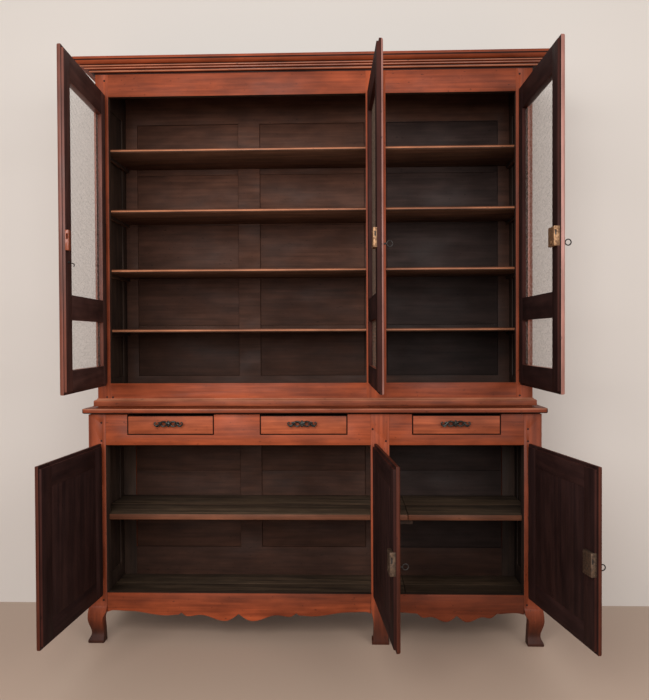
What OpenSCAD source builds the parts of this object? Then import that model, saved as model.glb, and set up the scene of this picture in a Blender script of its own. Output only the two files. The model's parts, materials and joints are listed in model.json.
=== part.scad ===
// Two-part cabinet: a low cupboard on shaped feet with three drawers and three
// panelled doors, and an upper cupboard with four shelves and three wire-net doors.
// x runs across the front, y from the front to the back, z up from the floor.

/* [Lower body] */
// Width across the two corner posts
lower_w = 1785; // [1600:5:2000]
// Depth from the front of the posts to the back
lower_depth = 445; // [420:5:520]
// Width of the corner posts
corner_post_w = 68; // [60:1:80]
// Width of the middle post
middle_post_w = 73; // [60:1:90]
// Depth of the front posts
post_depth = 55; // [50:1:65]
// Width of the left bay, which has two doors
left_bay_w = 1051; // [980:1:1120]
// Height of the sill, the top of the shaped apron
sill_h = 200; // [190:1:230]
// Height of the door openings
lower_bay_h = 589; // [540:1:640]
// Height of the frieze that holds the drawers
frieze_h = 122; // [118:1:140]
// Thickness of the frieze and apron rails
rail_t = 28; // [24:1:32]
// Thickness of the sides
side_t = 17.5; // [15:0.5:22]
// Thickness of the back frame and the rear posts
lower_back_t = 33; // [28:1:38]
// Width of the rear posts
rear_post_w = 72.5; // [60:0.5:80]
// Width of the upright members of the back frame
muntin_w = 96; // [80:1:110]

/* [Top plank] */
// Thickness of the plank
plank_t = 24; // [18:1:32]
// Overhang at the front
plank_front = 25.5; // [10:0.5:40]
// Overhang at each side
plank_side = 21.5; // [10:0.5:40]
// Radius of its front corners
plank_corner_r = 18; // [5:1:24]

/* [Feet] */
// Height of the shaped part of the front feet
foot_h = 150; // [150:1:170]
// How far the knee swells past the post
knee = 8.5; // [4:0.5:12]
// How far the ankle draws in
ankle = 4; // [0:0.5:10]
// How far the toe steps out
toe = 6.5; // [2:0.5:12]

/* [Lower shelf and floor] */
// Top of the floor boards above the room's floor
floor_top = 148.5; // [148:0.5:170]
// Thickness of the floor boards
floor_t = 20; // [16:1:24]
// Top of the shelf above the room's floor
lower_shelf_top = 507; // [400:1:600]
// Thickness of the shelf
lower_shelf_t = 22.5; // [16:0.5:28]
// Distance from the front of the posts to the shelf
lower_shelf_setback = 34; // [30:1:60]
// Height of the cleats and bearers
cleat_h = 20; // [15:1:24]
// Width of the cleats and bearers
cleat_w = 20; // [15:1:25]

/* [Drawers] */
// Width of a drawer front
drawer_w = 342; // [300:1:360]
// Height of a drawer front
drawer_h = 74.5; // [68:0.5:76]
// Height of the frieze under the drawer openings
drawer_sill = 40.5; // [34:0.5:41]
// Gap round a drawer front
drawer_gap = 2; // [1:0.5:3]
// Thickness of a drawer front
drawer_front_t = 20; // [16:1:24]
// Length of a drawer behind its front
drawer_len = 350; // [250:5:355]
// Height of the drawer sides
drawer_side_h = 60; // [50:1:64]
// Thickness of the drawer sides
drawer_side_t = 10; // [8:0.5:12]
// Thickness of the drawer bottom
drawer_bottom_t = 6; // [4:0.5:8]
// Middle of the left drawer from the left corner post
drawer_1_in = 259.5; // [240:0.5:280]
// Middle of the middle drawer from the middle post
drawer_2_in = 263.5; // [240:0.5:280]
// Middle of the right drawer from the middle post
drawer_3_in = 262.5; // [240:0.5:280]

/* [Drawer pulls] */
// Length of a pull
pull_w = 119; // [100:1:130]
// Height of a pull
pull_h = 28; // [22:1:34]
// Distance between its two stems
pull_stem_gap = 70; // [60:1:80]
// Space for the fingers behind it
pull_reach = 13; // [10:0.5:18]
// Thickness of the cast scrolls
pull_t = 5; // [3:0.5:7]

/* [Upper body] */
// Width across its stiles
upper_w = 1735; // [1550:5:1780]
// Depth from its front to its back
upper_depth = 385; // [350:5:400]
// Distance of its front behind the lower posts' front
setback = 43; // [30:1:60]
// Width of the left stile
left_stile_w = 51.5; // [48:0.5:65]
// Width of the middle stile
middle_stile_w = 78; // [70:1:90]
// Width of the right stile
right_stile_w = 65; // [50:1:75]
// Width of its left bay, which has two doors
upper_left_bay_w = 1029; // [960:1:1060]
// Thickness of the front stiles and rails
stile_t = 26; // [25:1:30]
// Height of the bottom front rail
upper_sill_h = 97; // [80:1:115]
// Height of its door openings
upper_bay_h = 1146; // [1000:1:1250]
// Height of the front rail above the doors
upper_frieze_h = 127; // [110:1:150]
// Thickness of the boards that close it at the top
top_board_t = 12; // [10:1:16]
// Thickness of the back frame
upper_back_t = 28; // [24:1:32]
// Width of the rear stiles
rear_stile_w = 67.5; // [55:0.5:75]
// Height of the back's top rail
back_top_rail_h = 142; // [110:1:160]

/* [Upper shelves] */
// Middle of each shelf above the sill
shelf_heights = [211, 453.5, 694.5, 938]; // [150:0.5:980]
// Thickness of a shelf
shelf_t = 13.5; // [12:0.5:20]
// Gap between the stiles and the front of the shelves
shelf_gap = 1; // [0.5:0.5:10]
// Top of the upper floor board below the sill
upper_floor_drop = 22; // [10:1:40]
// Thickness of the upper floor board
upper_floor_t = 18; // [14:1:22]

/* [Mouldings] */
// Projection of the cornice
cornice_out = 69; // [50:1:80]
// Height of the cornice
cornice_h = 43; // [38:1:56]
// Projection of the moulding round the foot of the upper body
base_out = 14; // [8:0.5:17]
// Height of that moulding
base_h = 36.6; // [30:0.2:46]

/* [Doors] */
// Thickness of the lip that lies on the face of the frame
lip_t = 14; // [13:1:20]
// Thickness of the part that enters the opening
body_t = 8; // [7:1:14]
// Overlap of the lip at the top, the bottom and the free side
door_lap = 8; // [6:0.5:10]
// Overlap of the lip at the hinge side
hinge_lap = 13.5; // [12:0.5:16]
// Distance from the lip to the line of the hinge pins
pin_out = 6.5; // [6.3:0.1:8]
// Clearance of the rebate in the opening
rebate_gap = 2; // [1.5:0.5:4]
// Clearance between a closed lip and the face of the frame
face_gap = 0.3; // [0.2:0.1:0.5]
// Gap between two doors that meet
meeting_gap = 1; // [0.6:0.2:2]
// Set-back of the body behind the lip where two doors meet
meeting_rebate = 6; // [4:0.5:7]
// How far each door stands open, in degrees from closed
open_upper_left = 87.2; // [60:0.1:100]
// Upper middle door
open_upper_middle = 92; // [60:0.1:100]
// Upper right door
open_upper_right = 91.5; // [60:0.1:100]
// Lower left door
open_lower_left = 93.4; // [60:0.1:100]
// Lower middle door
open_lower_middle = 95.6; // [60:0.1:100]
// Lower right door
open_lower_right = 100.1; // [60:0.1:105]

/* [Upper doors] */
// Width of the stiles
door_stile_w = 70; // [60:1:85]
// Height of the bottom rail
door_bottom_rail = 81; // [70:1:100]
// Height of the lower net
low_net_h = 171; // [140:1:200]
// Height of the middle rail
door_middle_rail = 85; // [60:1:100]
// Height of the top rail
door_top_rail = 100; // [80:1:120]
// Width of the ledge on each stile that the net lies on
net_ledge = 22; // [10:0.5:26]
// Thickness of that ledge at the front of the door
ledge_t = 7; // [5:0.5:8]
// Thickness of the net
net_t = 1.5; // [1:0.1:2]
// Width of a strand of the net
strand_w = 3; // [2:0.5:4]
// Height of one row of cells
net_row = 43; // [40:1:60]
// Cells across a net
net_cols = 5; // [3:1:5]

/* [Lower doors] */
// Width of the stiles and rails
panel_stile_w = 80; // [70:1:100]
// Thickness of the panel
panel_t = 16; // [14:1:18]
// Depth of the groove that holds it
groove = 8; // [5:0.5:12]
// Thickness of the frame behind that groove
groove_back = 4; // [3:0.5:5]
// Height of the raised field over the edge of the panel
field_rise = 6; // [3:0.5:8]
// Width of the bevel round its raised field
bevel_w = 38; // [20:1:50]

/* [Hinges] */
// Radius of a hinge barrel
barrel_r = 6; // [5:0.1:6]
// Length of each half of a hinge
knuckle = 55; // [40:1:65]
// Radius of the pin
pin_r = 2.5; // [2:0.1:3]
// Running clearance round the pin
pin_gap = 0.05; // [0.02:0.01:0.08]
// Thickness of the wings let into the wood
wing_t = 2; // [1.5:0.1:2.5]
// Depth of a wing from the line of the pins
wing_reach = 27; // [20:1:30]
// Clearance of a wing in its slot
slot_gap = 0.1; // [0.05:0.05:0.2]
// Foot of each hinge of an upper door above the upper sill
upper_hinges = [60, 526, 992]; // [20:1:1100]
// Foot of each hinge of a lower door above the lower sill
lower_hinges = [60, 440]; // [20:1:540]

/* [Locks] */
// Width of an upper lock case
upper_lock_w = 66; // [60:1:90]
// Height of an upper lock case
upper_lock_h = 64; // [60:1:90]
// Width of a lower lock case
lower_lock_w = 56; // [50:1:80]
// Height of a lower lock case
lower_lock_h = 78; // [60:1:90]
// Thickness of a lock case
lock_t = 12; // [9.5:0.5:12]
// Wall of a lock case
lock_wall = 1.5; // [1:0.1:2]
// Middle of the upper locks above the upper sill
upper_lock_z = 508; // [450:1:600]
// Middle of the lower locks above the lower sill
lower_lock_z = 280; // [200:1:350]
// Height of a bolt
bolt_h = 16; // [12:1:20]
// Thickness of a bolt
bolt_t = 4; // [3:0.5:4.5]
// Length of a bolt
bolt_len = 44; // [36:1:48]
// Travel of a bolt
bolt_throw = 12; // [11:0.5:14]
// Radius of a key's stem
key_r = 2.8; // [2:0.1:3.5]
// Radius of a key's bow
bow_r = 12; // [10:0.5:14]
// Distance from the door to the bow
bow_out = 12; // [8:0.5:16]
// Distance of a key from the edge of its lock
key_inset = 32; // [24:1:40]
// Distance of a key below the middle of its lock
key_drop = 18; // [10:1:19]

/* [Small fittings] */
// Width of the wooden keeper on the upper left door
keeper_w = 26; // [18:1:34]
// Height of the keeper
keeper_h = 68; // [50:1:90]
// Thickness of the keeper
keeper_t = 12; // [12:0.5:14]
// Length of the wire hook
hook_len = 60; // [40:1:80]
// Radius of the hook's wire
wire_r = 1.5; // [1:0.1:2]
// Height of the hook above the upper sill
hook_z = 437; // [430:1:438]
// Radius of the pegs in the joints
peg_r = 4; // [3:0.5:5]

/* [Hidden] */
$fn = 32;

// Finishes
CHERRY = [0.62, 0.31, 0.20];
CHERRY_DARK = [0.50, 0.25, 0.18];
INSIDE = [0.17, 0.12, 0.10];
BACK_WOOD = [0.27, 0.18, 0.14];
IRON = [0.16, 0.15, 0.15];
STEEL = [0.45, 0.42, 0.40];
BRASS = [0.66, 0.50, 0.30];
WIRE = [0.72, 0.71, 0.68];

// Places across and up the lower body
half_w = lower_w / 2;
bay_0 = -half_w + corner_post_w;
bay_1 = bay_0 + left_bay_w;
bay_2 = bay_1 + middle_post_w;
bay_3 = half_w - corner_post_w;
head_z = sill_h + lower_bay_h;
lower_h = head_z + frieze_h;
upper_z = lower_h + plank_t;
lower_back_y = lower_depth - lower_back_t;
side_x = half_w - side_t;
wood_gap = 0.3;

// Places across and up the upper body
half_u = upper_w / 2;
ubay_0 = -half_u + left_stile_w;
ubay_1 = ubay_0 + upper_left_bay_w;
ubay_2 = ubay_1 + middle_stile_w;
ubay_3 = half_u - right_stile_w;
usill_z = upper_z + upper_sill_h;
uhead_z = usill_z + upper_bay_h;
upper_top = uhead_z + upper_frieze_h + top_board_t;
stile_top = upper_top - top_board_t;
upper_back_y = setback + upper_depth - upper_back_t;
upper_side_x = half_u - side_t;
shelf_front_y = setback + stile_t + shelf_gap;
ufloor_top = usill_z - upper_floor_drop;
muntin_x = (bay_0 + bay_1) / 2;
back_post_x = (bay_1 + bay_2) / 2;

// The doors: upper left, middle and right, then lower left, middle and right
UL = 0;
UM = 1;
UR = 2;
LL = 3;
LM = 4;
LR = 5;
hand = [1, -1, -1, 1, -1, -1];
hinge_edge = [ubay_0, ubay_1, ubay_3, bay_0, bay_1, bay_3];
face_y = [setback, setback, setback, 0, 0, 0];
open_angle = [open_upper_left, open_upper_middle, open_upper_right,
              open_lower_left, open_lower_middle, open_lower_right];
hinge_reach = hinge_lap + pin_out;
pin_depth = lip_t / 2;
half_upper_bay = upper_left_bay_w / 2 + hinge_reach - meeting_gap / 2;
half_lower_bay = left_bay_w / 2 + hinge_reach - meeting_gap / 2;
leaf_w = [half_upper_bay, half_upper_bay, ubay_3 - ubay_2 + hinge_reach + door_lap,
          half_lower_bay, half_lower_bay, bay_3 - bay_2 + hinge_reach + door_lap];
opening_bottom = [usill_z, usill_z, usill_z, sill_h, sill_h, sill_h];
opening_h = [upper_bay_h, upper_bay_h, upper_bay_h, lower_bay_h, lower_bay_h, lower_bay_h];
// The active upper leaf is full thickness up to its meeting edge
side_inset = door_lap + rebate_gap;
edge_inset = [meeting_rebate, 0, side_inset, meeting_rebate, meeting_rebate, side_inset];
bolt_out = [0, 0, 0, 0, meeting_rebate - 2, 0];
hinge_places = [upper_hinges, upper_hinges, upper_hinges, lower_hinges, lower_hinges, lower_hinges];
body_front = pin_depth - face_gap;
body_back = pin_depth + body_t;

// The free edge of a leaf's body, where a lock sits, and the place of its key
function lock_edge(d) = leaf_w[d] - max(edge_inset[d], 2);
function lock_w(d) = d < LL ? upper_lock_w : lower_lock_w;
function lock_h(d) = d < LL ? upper_lock_h : lower_lock_h;
function lock_z(d) = d < LL ? upper_lock_z : lower_lock_z;
function key_x(d) = lock_edge(d) - key_inset;
function key_z(d) = lock_z(d) - key_drop;
key_out = pin_depth + bow_out + 2 * bow_r - 2;

// The origin lies on the floor under the middle of the box of the cabinet as it stands,
// with its doors open: from the cornice on the left to the lower right key, and from
// the open lower right door to the back
door_reach = lip_t + leaf_w[LR] * sin(open_lower_right);
key_reach = bay_3 + hinge_reach - key_x(LR) * cos(open_lower_right) + key_out * sin(open_lower_right);
front_x = (half_u + cornice_out - key_reach) / 2;
front_y = (door_reach - lower_depth) / 2;

module in_frame() {
  translate([front_x, front_y, 0]) children();
}

// A box from its low corner to its high corner
module block(low, high) {
  translate(low) cube([high[0] - low[0], high[1] - low[1], high[2] - low[2]]);
}

// Stands a profile drawn in x and z on its edge, from y = 0 back to its thickness
module stand(t) {
  translate([0, t, 0]) rotate([90, 0, 0]) linear_extrude(t) children();
}

// The same piece on both ends of the cabinet
module both_ends() {
  children();
  mirror([1, 0, 0]) children();
}

// Lays a leaf drawn closed, from its pins towards +x, at its open place
module hung(d) {
  in_frame()
    translate([hinge_edge[d] - hand[d] * hinge_reach, face_y[d] - pin_depth, opening_bottom[d]])
      mirror([hand[d] < 0 ? 1 : 0, 0, 0]) rotate([0, 0, -open_angle[d]]) children();
}

// A curve through points, rounded between them
function spline_at(a, b, c, d, t) =
  0.5 * (2 * b + (c - a) * t + (2 * a - 5 * b + 4 * c - d) * t * t
         + (3 * b - a - 3 * c + d) * t * t * t);
function spline(p, n = 5) = [
  for (i = [0 : len(p) - 2]) for (j = [0 : n - 1])
    spline_at(p[max(i - 1, 0)], p[i], p[i + 1], p[min(i + 2, len(p) - 1)], j / n),
  p[len(p) - 1]
];
function backwards(p) = [for (i = [len(p) - 1 : -1 : 0]) p[i]];

// Section of a front foot: both edges start at the post and are shaped below foot_h
function foot_section(w, inner) = concat(
  spline([[0, foot_h], [-knee * 0.65, foot_h - 12], [-knee, foot_h - 57], [ankle, 40],
          [-toe, 12], [-toe, 0]]),
  backwards(spline([[w, foot_h], [w - inner * 0.25, foot_h - 28], [w - inner, foot_h - 51],
                    [w - inner * 0.9, 50], [w - inner * 0.8, 0]]))
);

module shaped_foot(w, inner) {
  intersection() {
    translate([0, -2 * knee, 0]) stand(post_depth + 4 * knee) polygon(foot_section(w, inner));
    rotate([0, 0, 90]) translate([0, -w - 2 * knee, 0])
      stand(w + 4 * knee) polygon(foot_section(post_depth, inner));
  }
}

module corner_post() {
  translate([-half_w, 0, 0]) shaped_foot(corner_post_w, 17);
  block([-half_w, 0, foot_h], [bay_0, post_depth, lower_h]);
}

// The middle foot is straight, hollowed a little on its left, on a low pad
module middle_post() {
  pad_h = 15;
  block([bay_1, 0, foot_h], [bay_2, post_depth, lower_h]);
  translate([bay_1, 0, 0]) stand(post_depth) polygon(concat(
    spline([[0, foot_h], [2, foot_h - 25], [9, foot_h - 55], [10, 60], [8, pad_h]], 4),
    [[3, pad_h], [3, 0], [middle_post_w - 3, 0], [middle_post_w - 3, pad_h],
     [middle_post_w - 7, pad_h], [middle_post_w - 6, 60], [middle_post_w, foot_h]]));
}

// Pegs of the lower and the upper joints, as x and z on the front face
lower_pegs = [[bay_0 - 17, head_z + 89], [bay_0 - 17, head_z + 17], [bay_1 + 8, head_z + 63],
              [bay_2 - 13, head_z + 16], [bay_3 + 15, head_z + 63], [bay_3 + 15, head_z + 15],
              [bay_3 + 11, sill_h - 39], [bay_0 - 14, sill_h - 30]];
upper_pegs = [[ubay_0 - 15, stile_top - 62], [ubay_0 - 15, usill_z - 55],
              [ubay_0 + 9, usill_z - 56], [ubay_3 + 15, stile_top - 60],
              [ubay_3 + 15, usill_z - 52]];
peg_proud = 0.8;

module peg_row(places, y, r, len) {
  for (p = places) translate([p[0], y, p[1]]) rotate([-90, 0, 0]) cylinder(r = r, h = len);
}

// Slots in the frame for the wings of the hinges
module wing_slots(d) {
  for (z = hinge_places[d])
    translate([hinge_edge[d] - hand[d] * hinge_reach, face_y[d] - pin_depth, opening_bottom[d] + z])
      block([-wing_t / 2 - slot_gap, 0, -slot_gap],
            [wing_t / 2 + slot_gap, wing_reach + slot_gap, knuckle + slot_gap]);
}

// The mortise that a bolt enters when its door is closed
module bolt_mortise(x, d, z, top) {
  t = face_y[d] + body_t + lock_t / 2;
  block([x - bolt_throw - 2, t - bolt_t / 2 - 1, z - 1], [x + 1, t + bolt_t / 2 + 1, top + 1]);
}

function bolt_low(d) = opening_bottom[d] + (d < LL ? upper_lock_z : lower_lock_z) + 4;

module lower_front_posts() {
  color(CHERRY) in_frame() difference() {
    union() {
      both_ends() corner_post();
      middle_post();
    }
    wing_slots(LL);
    wing_slots(LM);
    wing_slots(LR);
    bolt_mortise(bay_2, LR, bolt_low(LR), bolt_low(LR) + bolt_h);
    peg_row(lower_pegs, -1, peg_r + 0.05, 22);
  }
}

module lower_rear_posts() {
  color(CHERRY_DARK) in_frame() both_ends()
    block([half_w - rear_post_w, lower_back_y, 0], [half_w, lower_depth, lower_h]);
}

drawer_x = [bay_0 + drawer_1_in, bay_1 - drawer_2_in, bay_2 + drawer_3_in];
drawer_z = head_z + drawer_sill + drawer_gap;
drawer_cut = drawer_w / 2 + drawer_gap;

module frieze_rails() {
  color(CHERRY) in_frame() difference() {
    union() {
      block([bay_0, 0, head_z], [bay_1, rail_t, lower_h]);
      block([bay_2, 0, head_z], [bay_3, rail_t, lower_h]);
    }
    for (x = drawer_x)
      block([x - drawer_cut, -1, head_z + drawer_sill], [x + drawer_cut, rail_t + 1, lower_h + 1]);
  }
}

// Shaped edge of an apron from its middle to the post, as distance, height and kind:
// 1 runs smoothly, 2 ends in a cusp, 3 leaves a cusp
function ease(kind, t) =
  kind == 1 ? (1 - cos(180 * t)) / 2 : kind == 2 ? 1 - cos(90 * t) : sin(90 * t);
function scallops(k, n = 6) = [
  for (i = [0 : len(k) - 2]) for (j = [0 : n - 1])
    let (a = k[i], b = k[i + 1], t = j / n)
      [a[0] + (b[0] - a[0]) * t, a[1] + (b[1] - a[1]) * ease(b[2], t)],
  [k[len(k) - 1][0], k[len(k) - 1][1]]
];

module apron(x, half, k) {
  edge = scallops(k);
  left = [for (p = backwards(edge)) [-p[0], p[1]]];
  translate([x, 0, 0]) stand(rail_t)
    polygon(concat([[-half, sill_h]], left, [for (i = [1 : len(edge) - 1]) edge[i]], [[half, sill_h]]));
}

module apron_rails() {
  left_half = left_bay_w / 2;
  right_half = (bay_3 - bay_2) / 2;
  color(CHERRY) in_frame() {
    apron((bay_0 + bay_1) / 2, left_half,
          [[0, 117, 0], [56, 89, 3], [152, 113, 1], [202, 107, 1], [229, 122, 2], [241, 113, 3],
           [290, 109.5, 1], [left_half - 83, 127, 1], [left_half - 25, 129, 1], [left_half, 122, 2]]);
    apron((bay_2 + bay_3) / 2, right_half,
          [[0, 116, 0], [42.5, 91, 3], [102, 111, 1], [128, 107, 1], [150, 119, 2], [160, 124.5, 3],
           [right_half - 36, 128.6, 1], [right_half, 122, 2]]);
  }
}

// Back of the lower body: a framed back with boards laid across between its uprights
back_rail_top = 273;
board_t = 12;

module back_boards(x0, x1, z0, z1, y, n) {
  h = (z1 - z0) / n;
  for (z = [z0 : h : z1 - h / 2])
    block([x0 + wood_gap, y, z + wood_gap], [x1 - wood_gap, y + board_t, z + h - wood_gap]);
}

module lower_back() {
  inner = half_w - rear_post_w;
  color(BACK_WOOD) in_frame() {
    block([-inner, lower_back_y, floor_top - floor_t], [inner, lower_depth, back_rail_top]);
    block([-inner, lower_back_y, head_z], [inner, lower_depth, lower_h]);
    for (x = [muntin_x, back_post_x])
      block([x - muntin_w / 2, lower_back_y, back_rail_top], [x + muntin_w / 2, lower_depth, head_z]);
    back_boards(-inner, muntin_x - muntin_w / 2, back_rail_top, head_z, lower_back_y + 8, 3);
    back_boards(muntin_x + muntin_w / 2, back_post_x - muntin_w / 2, back_rail_top, head_z,
                lower_back_y + 8, 3);
    back_boards(back_post_x + muntin_w / 2, inner, back_rail_top, head_z, lower_back_y + 8, 3);
  }
}

// A framed side: rails at top and bottom, uprights at both ends and a thinner panel
module framed_side(x0, y0, y1, z0, z1, low_rail, high_rail, upright) {
  difference() {
    block([x0, y0, z0], [x0 + side_t, y1, z1]);
    block([x0 - 1, y0 + upright, z0 + low_rail], [x0 + side_t + 1, y1 - upright, z1 - high_rail]);
  }
  block([x0 + 4, y0 + upright + wood_gap, z0 + low_rail + wood_gap],
        [x0 + side_t - 5, y1 - upright - wood_gap, z1 - high_rail - wood_gap]);
}

module lower_sides() {
  color(CHERRY_DARK) in_frame() both_ends()
    framed_side(side_x, post_depth, lower_back_y, 122, lower_h, 92, 121, 50);
}

// Boards are notched round the front posts
module post_notches() {
  for (x = [[-half_w - 1, bay_0], [bay_1, bay_2], [bay_3, half_w + 1]])
    block([x[0] - wood_gap, -1, 0], [x[1] + wood_gap, post_depth + wood_gap, lower_h]);
}

module split_board(front, back, z, t, joint_y, joint_x) {
  difference() {
    union() {
      block([-side_x + wood_gap, front, z], [joint_x - 1, joint_y - 0.5, z + t]);
      block([joint_x + 1, front, z], [side_x - wood_gap, joint_y - 0.5, z + t]);
      block([-side_x + wood_gap, joint_y + 0.5, z], [joint_x - 1, back, z + t]);
      block([joint_x + 1, joint_y + 0.5, z], [side_x - wood_gap, back, z + t]);
    }
    post_notches();
  }
}

board_joint_x = bay_2 + 75;

module lower_shelf_boards() {
  color(INSIDE) in_frame() split_board(lower_shelf_setback, lower_back_y - wood_gap,
    lower_shelf_top - lower_shelf_t, lower_shelf_t, 222, board_joint_x);
}

module lower_floor_boards() {
  color(INSIDE) in_frame() split_board(rail_t + wood_gap, lower_back_y - wood_gap,
    floor_top - floor_t, floor_t, 280, board_joint_x);
}

// Cleats on the sides, one bearer across under the joint of the boards, and a thin
// strip behind each apron that carries the front edge of the floor
front_strip_t = 5;

module bearer_set(z) {
  both_ends() block([side_x - cleat_w, post_depth + wood_gap, z - cleat_h],
                    [side_x, lower_back_y, z]);
  block([board_joint_x - cleat_w, post_depth + wood_gap, z - cleat_h],
        [board_joint_x + cleat_w, lower_back_y, z]);
  block([bay_2 - cleat_w, post_depth, z - cleat_h],
        [board_joint_x - cleat_w, post_depth + cleat_w, z]);
}

module bearers() {
  color(INSIDE) in_frame() {
    bearer_set(floor_top - floor_t);
    bearer_set(lower_shelf_top - lower_shelf_t);
    for (x = [[bay_0, bay_1], [bay_2, bay_3]])
      block([x[0] + 10, rail_t, floor_top - floor_t - front_strip_t],
            [x[1] - 10, rail_t + cleat_w, floor_top - floor_t]);
  }
}

// A runner under each side of a drawer, with a strip that guides it
runner_gap = 0.2;
guide_gap = 1;

module drawer_runners() {
  top = drawer_z - runner_gap;
  color(INSIDE) in_frame() for (x = drawer_x) translate([x, 0, 0]) both_ends() {
    block([drawer_w / 2 - 24, rail_t, top - cleat_h], [drawer_w / 2 + 14, lower_back_y, top]);
    block([drawer_w / 2 + guide_gap, rail_t, top], [drawer_w / 2 + 14, lower_back_y, top + 22]);
  }
}

module top_plank() {
  x = half_w + plank_side;
  r = plank_corner_r;
  color(CHERRY) in_frame() translate([0, 0, lower_h]) linear_extrude(plank_t) {
    translate([-x, r - plank_front]) square([2 * x, lower_depth + plank_front - r]);
    translate([r - x, -plank_front]) square([2 * (x - r), r + 1]);
    for (s = [-1, 1]) translate([s * (x - r), r - plank_front]) circle(r, $fn = 64);
  }
}

module upper_front_stiles() {
  color(CHERRY) in_frame() difference() {
    for (x = [[-half_u, ubay_0], [ubay_1, ubay_2], [ubay_3, half_u]])
      block([x[0], setback, upper_z], [x[1], setback + stile_t, stile_top]);
    wing_slots(UL);
    wing_slots(UM);
    wing_slots(UR);
    bolt_mortise(ubay_2, UR, bolt_low(UR), bolt_low(UR) + bolt_h);
    peg_row(upper_pegs, setback - 1, peg_r + 0.05, 20);
  }
}

module upper_front_rails() {
  color(CHERRY) in_frame() difference() {
    for (x = [[ubay_0, ubay_1], [ubay_2, ubay_3]]) {
      block([x[0], setback, upper_z], [x[1], setback + stile_t, usill_z]);
      block([x[0], setback, uhead_z], [x[1], setback + stile_t, stile_top]);
    }
    peg_row(upper_pegs, setback - 1, peg_r + 0.05, 20);
  }
}

// Cornice section: a fascia, a large ovolo, two fillets, a small step and a bead
function arc(cx, cz, r, a0, a1, n) = [
  for (i = [0 : n]) let (a = a0 + (a1 - a0) * i / n) [cx + r * cos(a), cz + r * sin(a)]
];

module cornice_section() {
  h = cornice_h;
  p = cornice_out;
  polygon(concat(
    [[0, h], [p, h], [p, h - 9], [p - 7, h - 9]],
    [for (i = [0 : 8]) let (a = 90 * i / 8) [p - 27 + 20 * cos(a), h - 10 - 12 * sin(a)]],
    [[p - 31, h - 22], [p - 32, h - 29], [p - 43, h - 29], [p - 43, h - 35.5], [p - 59, h - 35.5]],
    arc(p - 61, h - 40, 3, 60, -90, 6),
    [[0, 0]]
  ));
}

module base_section() {
  f = base_h - 10;
  polygon(concat(
    [[0, 0], [base_out, 0], [base_out, f]],
    [for (i = [1 : 8]) let (t = i / 8)
      [base_out * (1 - 0.8 * t) + 1.2 * sin(360 * t), f + 8.5 * t]],
    [[base_out * 0.2, base_h], [0, base_h]]
  ));
}

module cornice() {
  color(CHERRY) in_frame() run_of(cornice_out, upper_top - cornice_h) cornice_section();
}

module base_moulding() {
  color(CHERRY) in_frame() run_of(base_out, upper_z) base_section();
}

// A moulding round the front and both ends, mitred at the corners. Its section gives
// projection and height, with its back at projection 0.
module run_of(reach, z) {
  long = half_u + reach;
  translate([0, setback, z]) {
    intersection() {
      translate([-long, 0, 0]) rotate([90, 0, 90]) linear_extrude(2 * long) mirror([1, 0]) children();
      translate([0, 0, -1]) linear_extrude(cornice_h + base_h)
        polygon([[-half_u, 0], [half_u, 0], [long, -reach], [-long, -reach]]);
    }
    both_ends() intersection() {
      translate([half_u, upper_depth, 0]) rotate([90, 0, 0])
        linear_extrude(upper_depth + reach) children();
      translate([0, 0, -1]) linear_extrude(cornice_h + base_h)
        polygon([[half_u, 0], [long, -reach], [long, upper_depth], [half_u, upper_depth]]);
    }
  }
}

module upper_sides() {
  color(CHERRY_DARK) in_frame() both_ends()
    framed_side(upper_side_x, setback + stile_t, upper_back_y, upper_z, stile_top, 110, 140, 55);
}

module upper_back() {
  inner = half_u;
  rail_low = usill_z + 12;
  rail_high = stile_top - back_top_rail_h;
  color(BACK_WOOD) in_frame() {
    both_ends() block([half_u - rear_stile_w, upper_back_y, upper_z],
                      [half_u, setback + upper_depth, stile_top]);
    block([-inner + rear_stile_w, upper_back_y, upper_z],
          [inner - rear_stile_w, setback + upper_depth, rail_low]);
    block([-inner + rear_stile_w, upper_back_y, rail_high],
          [inner - rear_stile_w, setback + upper_depth, stile_top]);
    for (x = [muntin_x, back_post_x])
      block([x - muntin_w / 2, upper_back_y, rail_low],
            [x + muntin_w / 2, setback + upper_depth, rail_high]);
    back_boards(-inner + rear_stile_w, muntin_x - muntin_w / 2, rail_low, rail_high, upper_back_y + 8, 5);
    back_boards(muntin_x + muntin_w / 2, back_post_x - muntin_w / 2, rail_low, rail_high,
                upper_back_y + 8, 5);
    back_boards(back_post_x + muntin_w / 2, inner - rear_stile_w, rail_low, rail_high,
                upper_back_y + 8, 5);
  }
}

module upper_shelves() {
  color(INSIDE) in_frame() for (h = shelf_heights)
    block([-upper_side_x + wood_gap, shelf_front_y, usill_z + h - shelf_t / 2],
          [upper_side_x - wood_gap, upper_back_y - wood_gap, usill_z + h + shelf_t / 2]);
}

module upper_floor_and_top() {
  y0 = setback + stile_t + wood_gap;
  color(INSIDE) in_frame() {
    block([-upper_side_x + wood_gap, y0, ufloor_top - upper_floor_t],
          [upper_side_x - wood_gap, upper_back_y - wood_gap, ufloor_top]);
    block([-half_u, setback, stile_top], [half_u, setback + upper_depth, upper_top]);
  }
}

module shelf_cleats() {
  cleat = 14;
  color(INSIDE) in_frame() both_ends()
    for (z = concat([for (h = shelf_heights) usill_z + h - shelf_t / 2], [ufloor_top - upper_floor_t]))
      block([upper_side_x - cleat, shelf_front_y + 8, z - cleat], [upper_side_x, upper_back_y, z]);
}

module joint_pegs() {
  color(CHERRY_DARK) in_frame() {
    peg_row(lower_pegs, -peg_proud, peg_r, 20);
    peg_row(upper_pegs, setback - peg_proud, peg_r, 18);
  }
}

// Hinge halves. The lower half is let into the frame and carries the pin, the upper
// half is let into the lip of the door and drops over the pin.
seat_gap = 0.3;
finial_r = 6;

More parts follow.
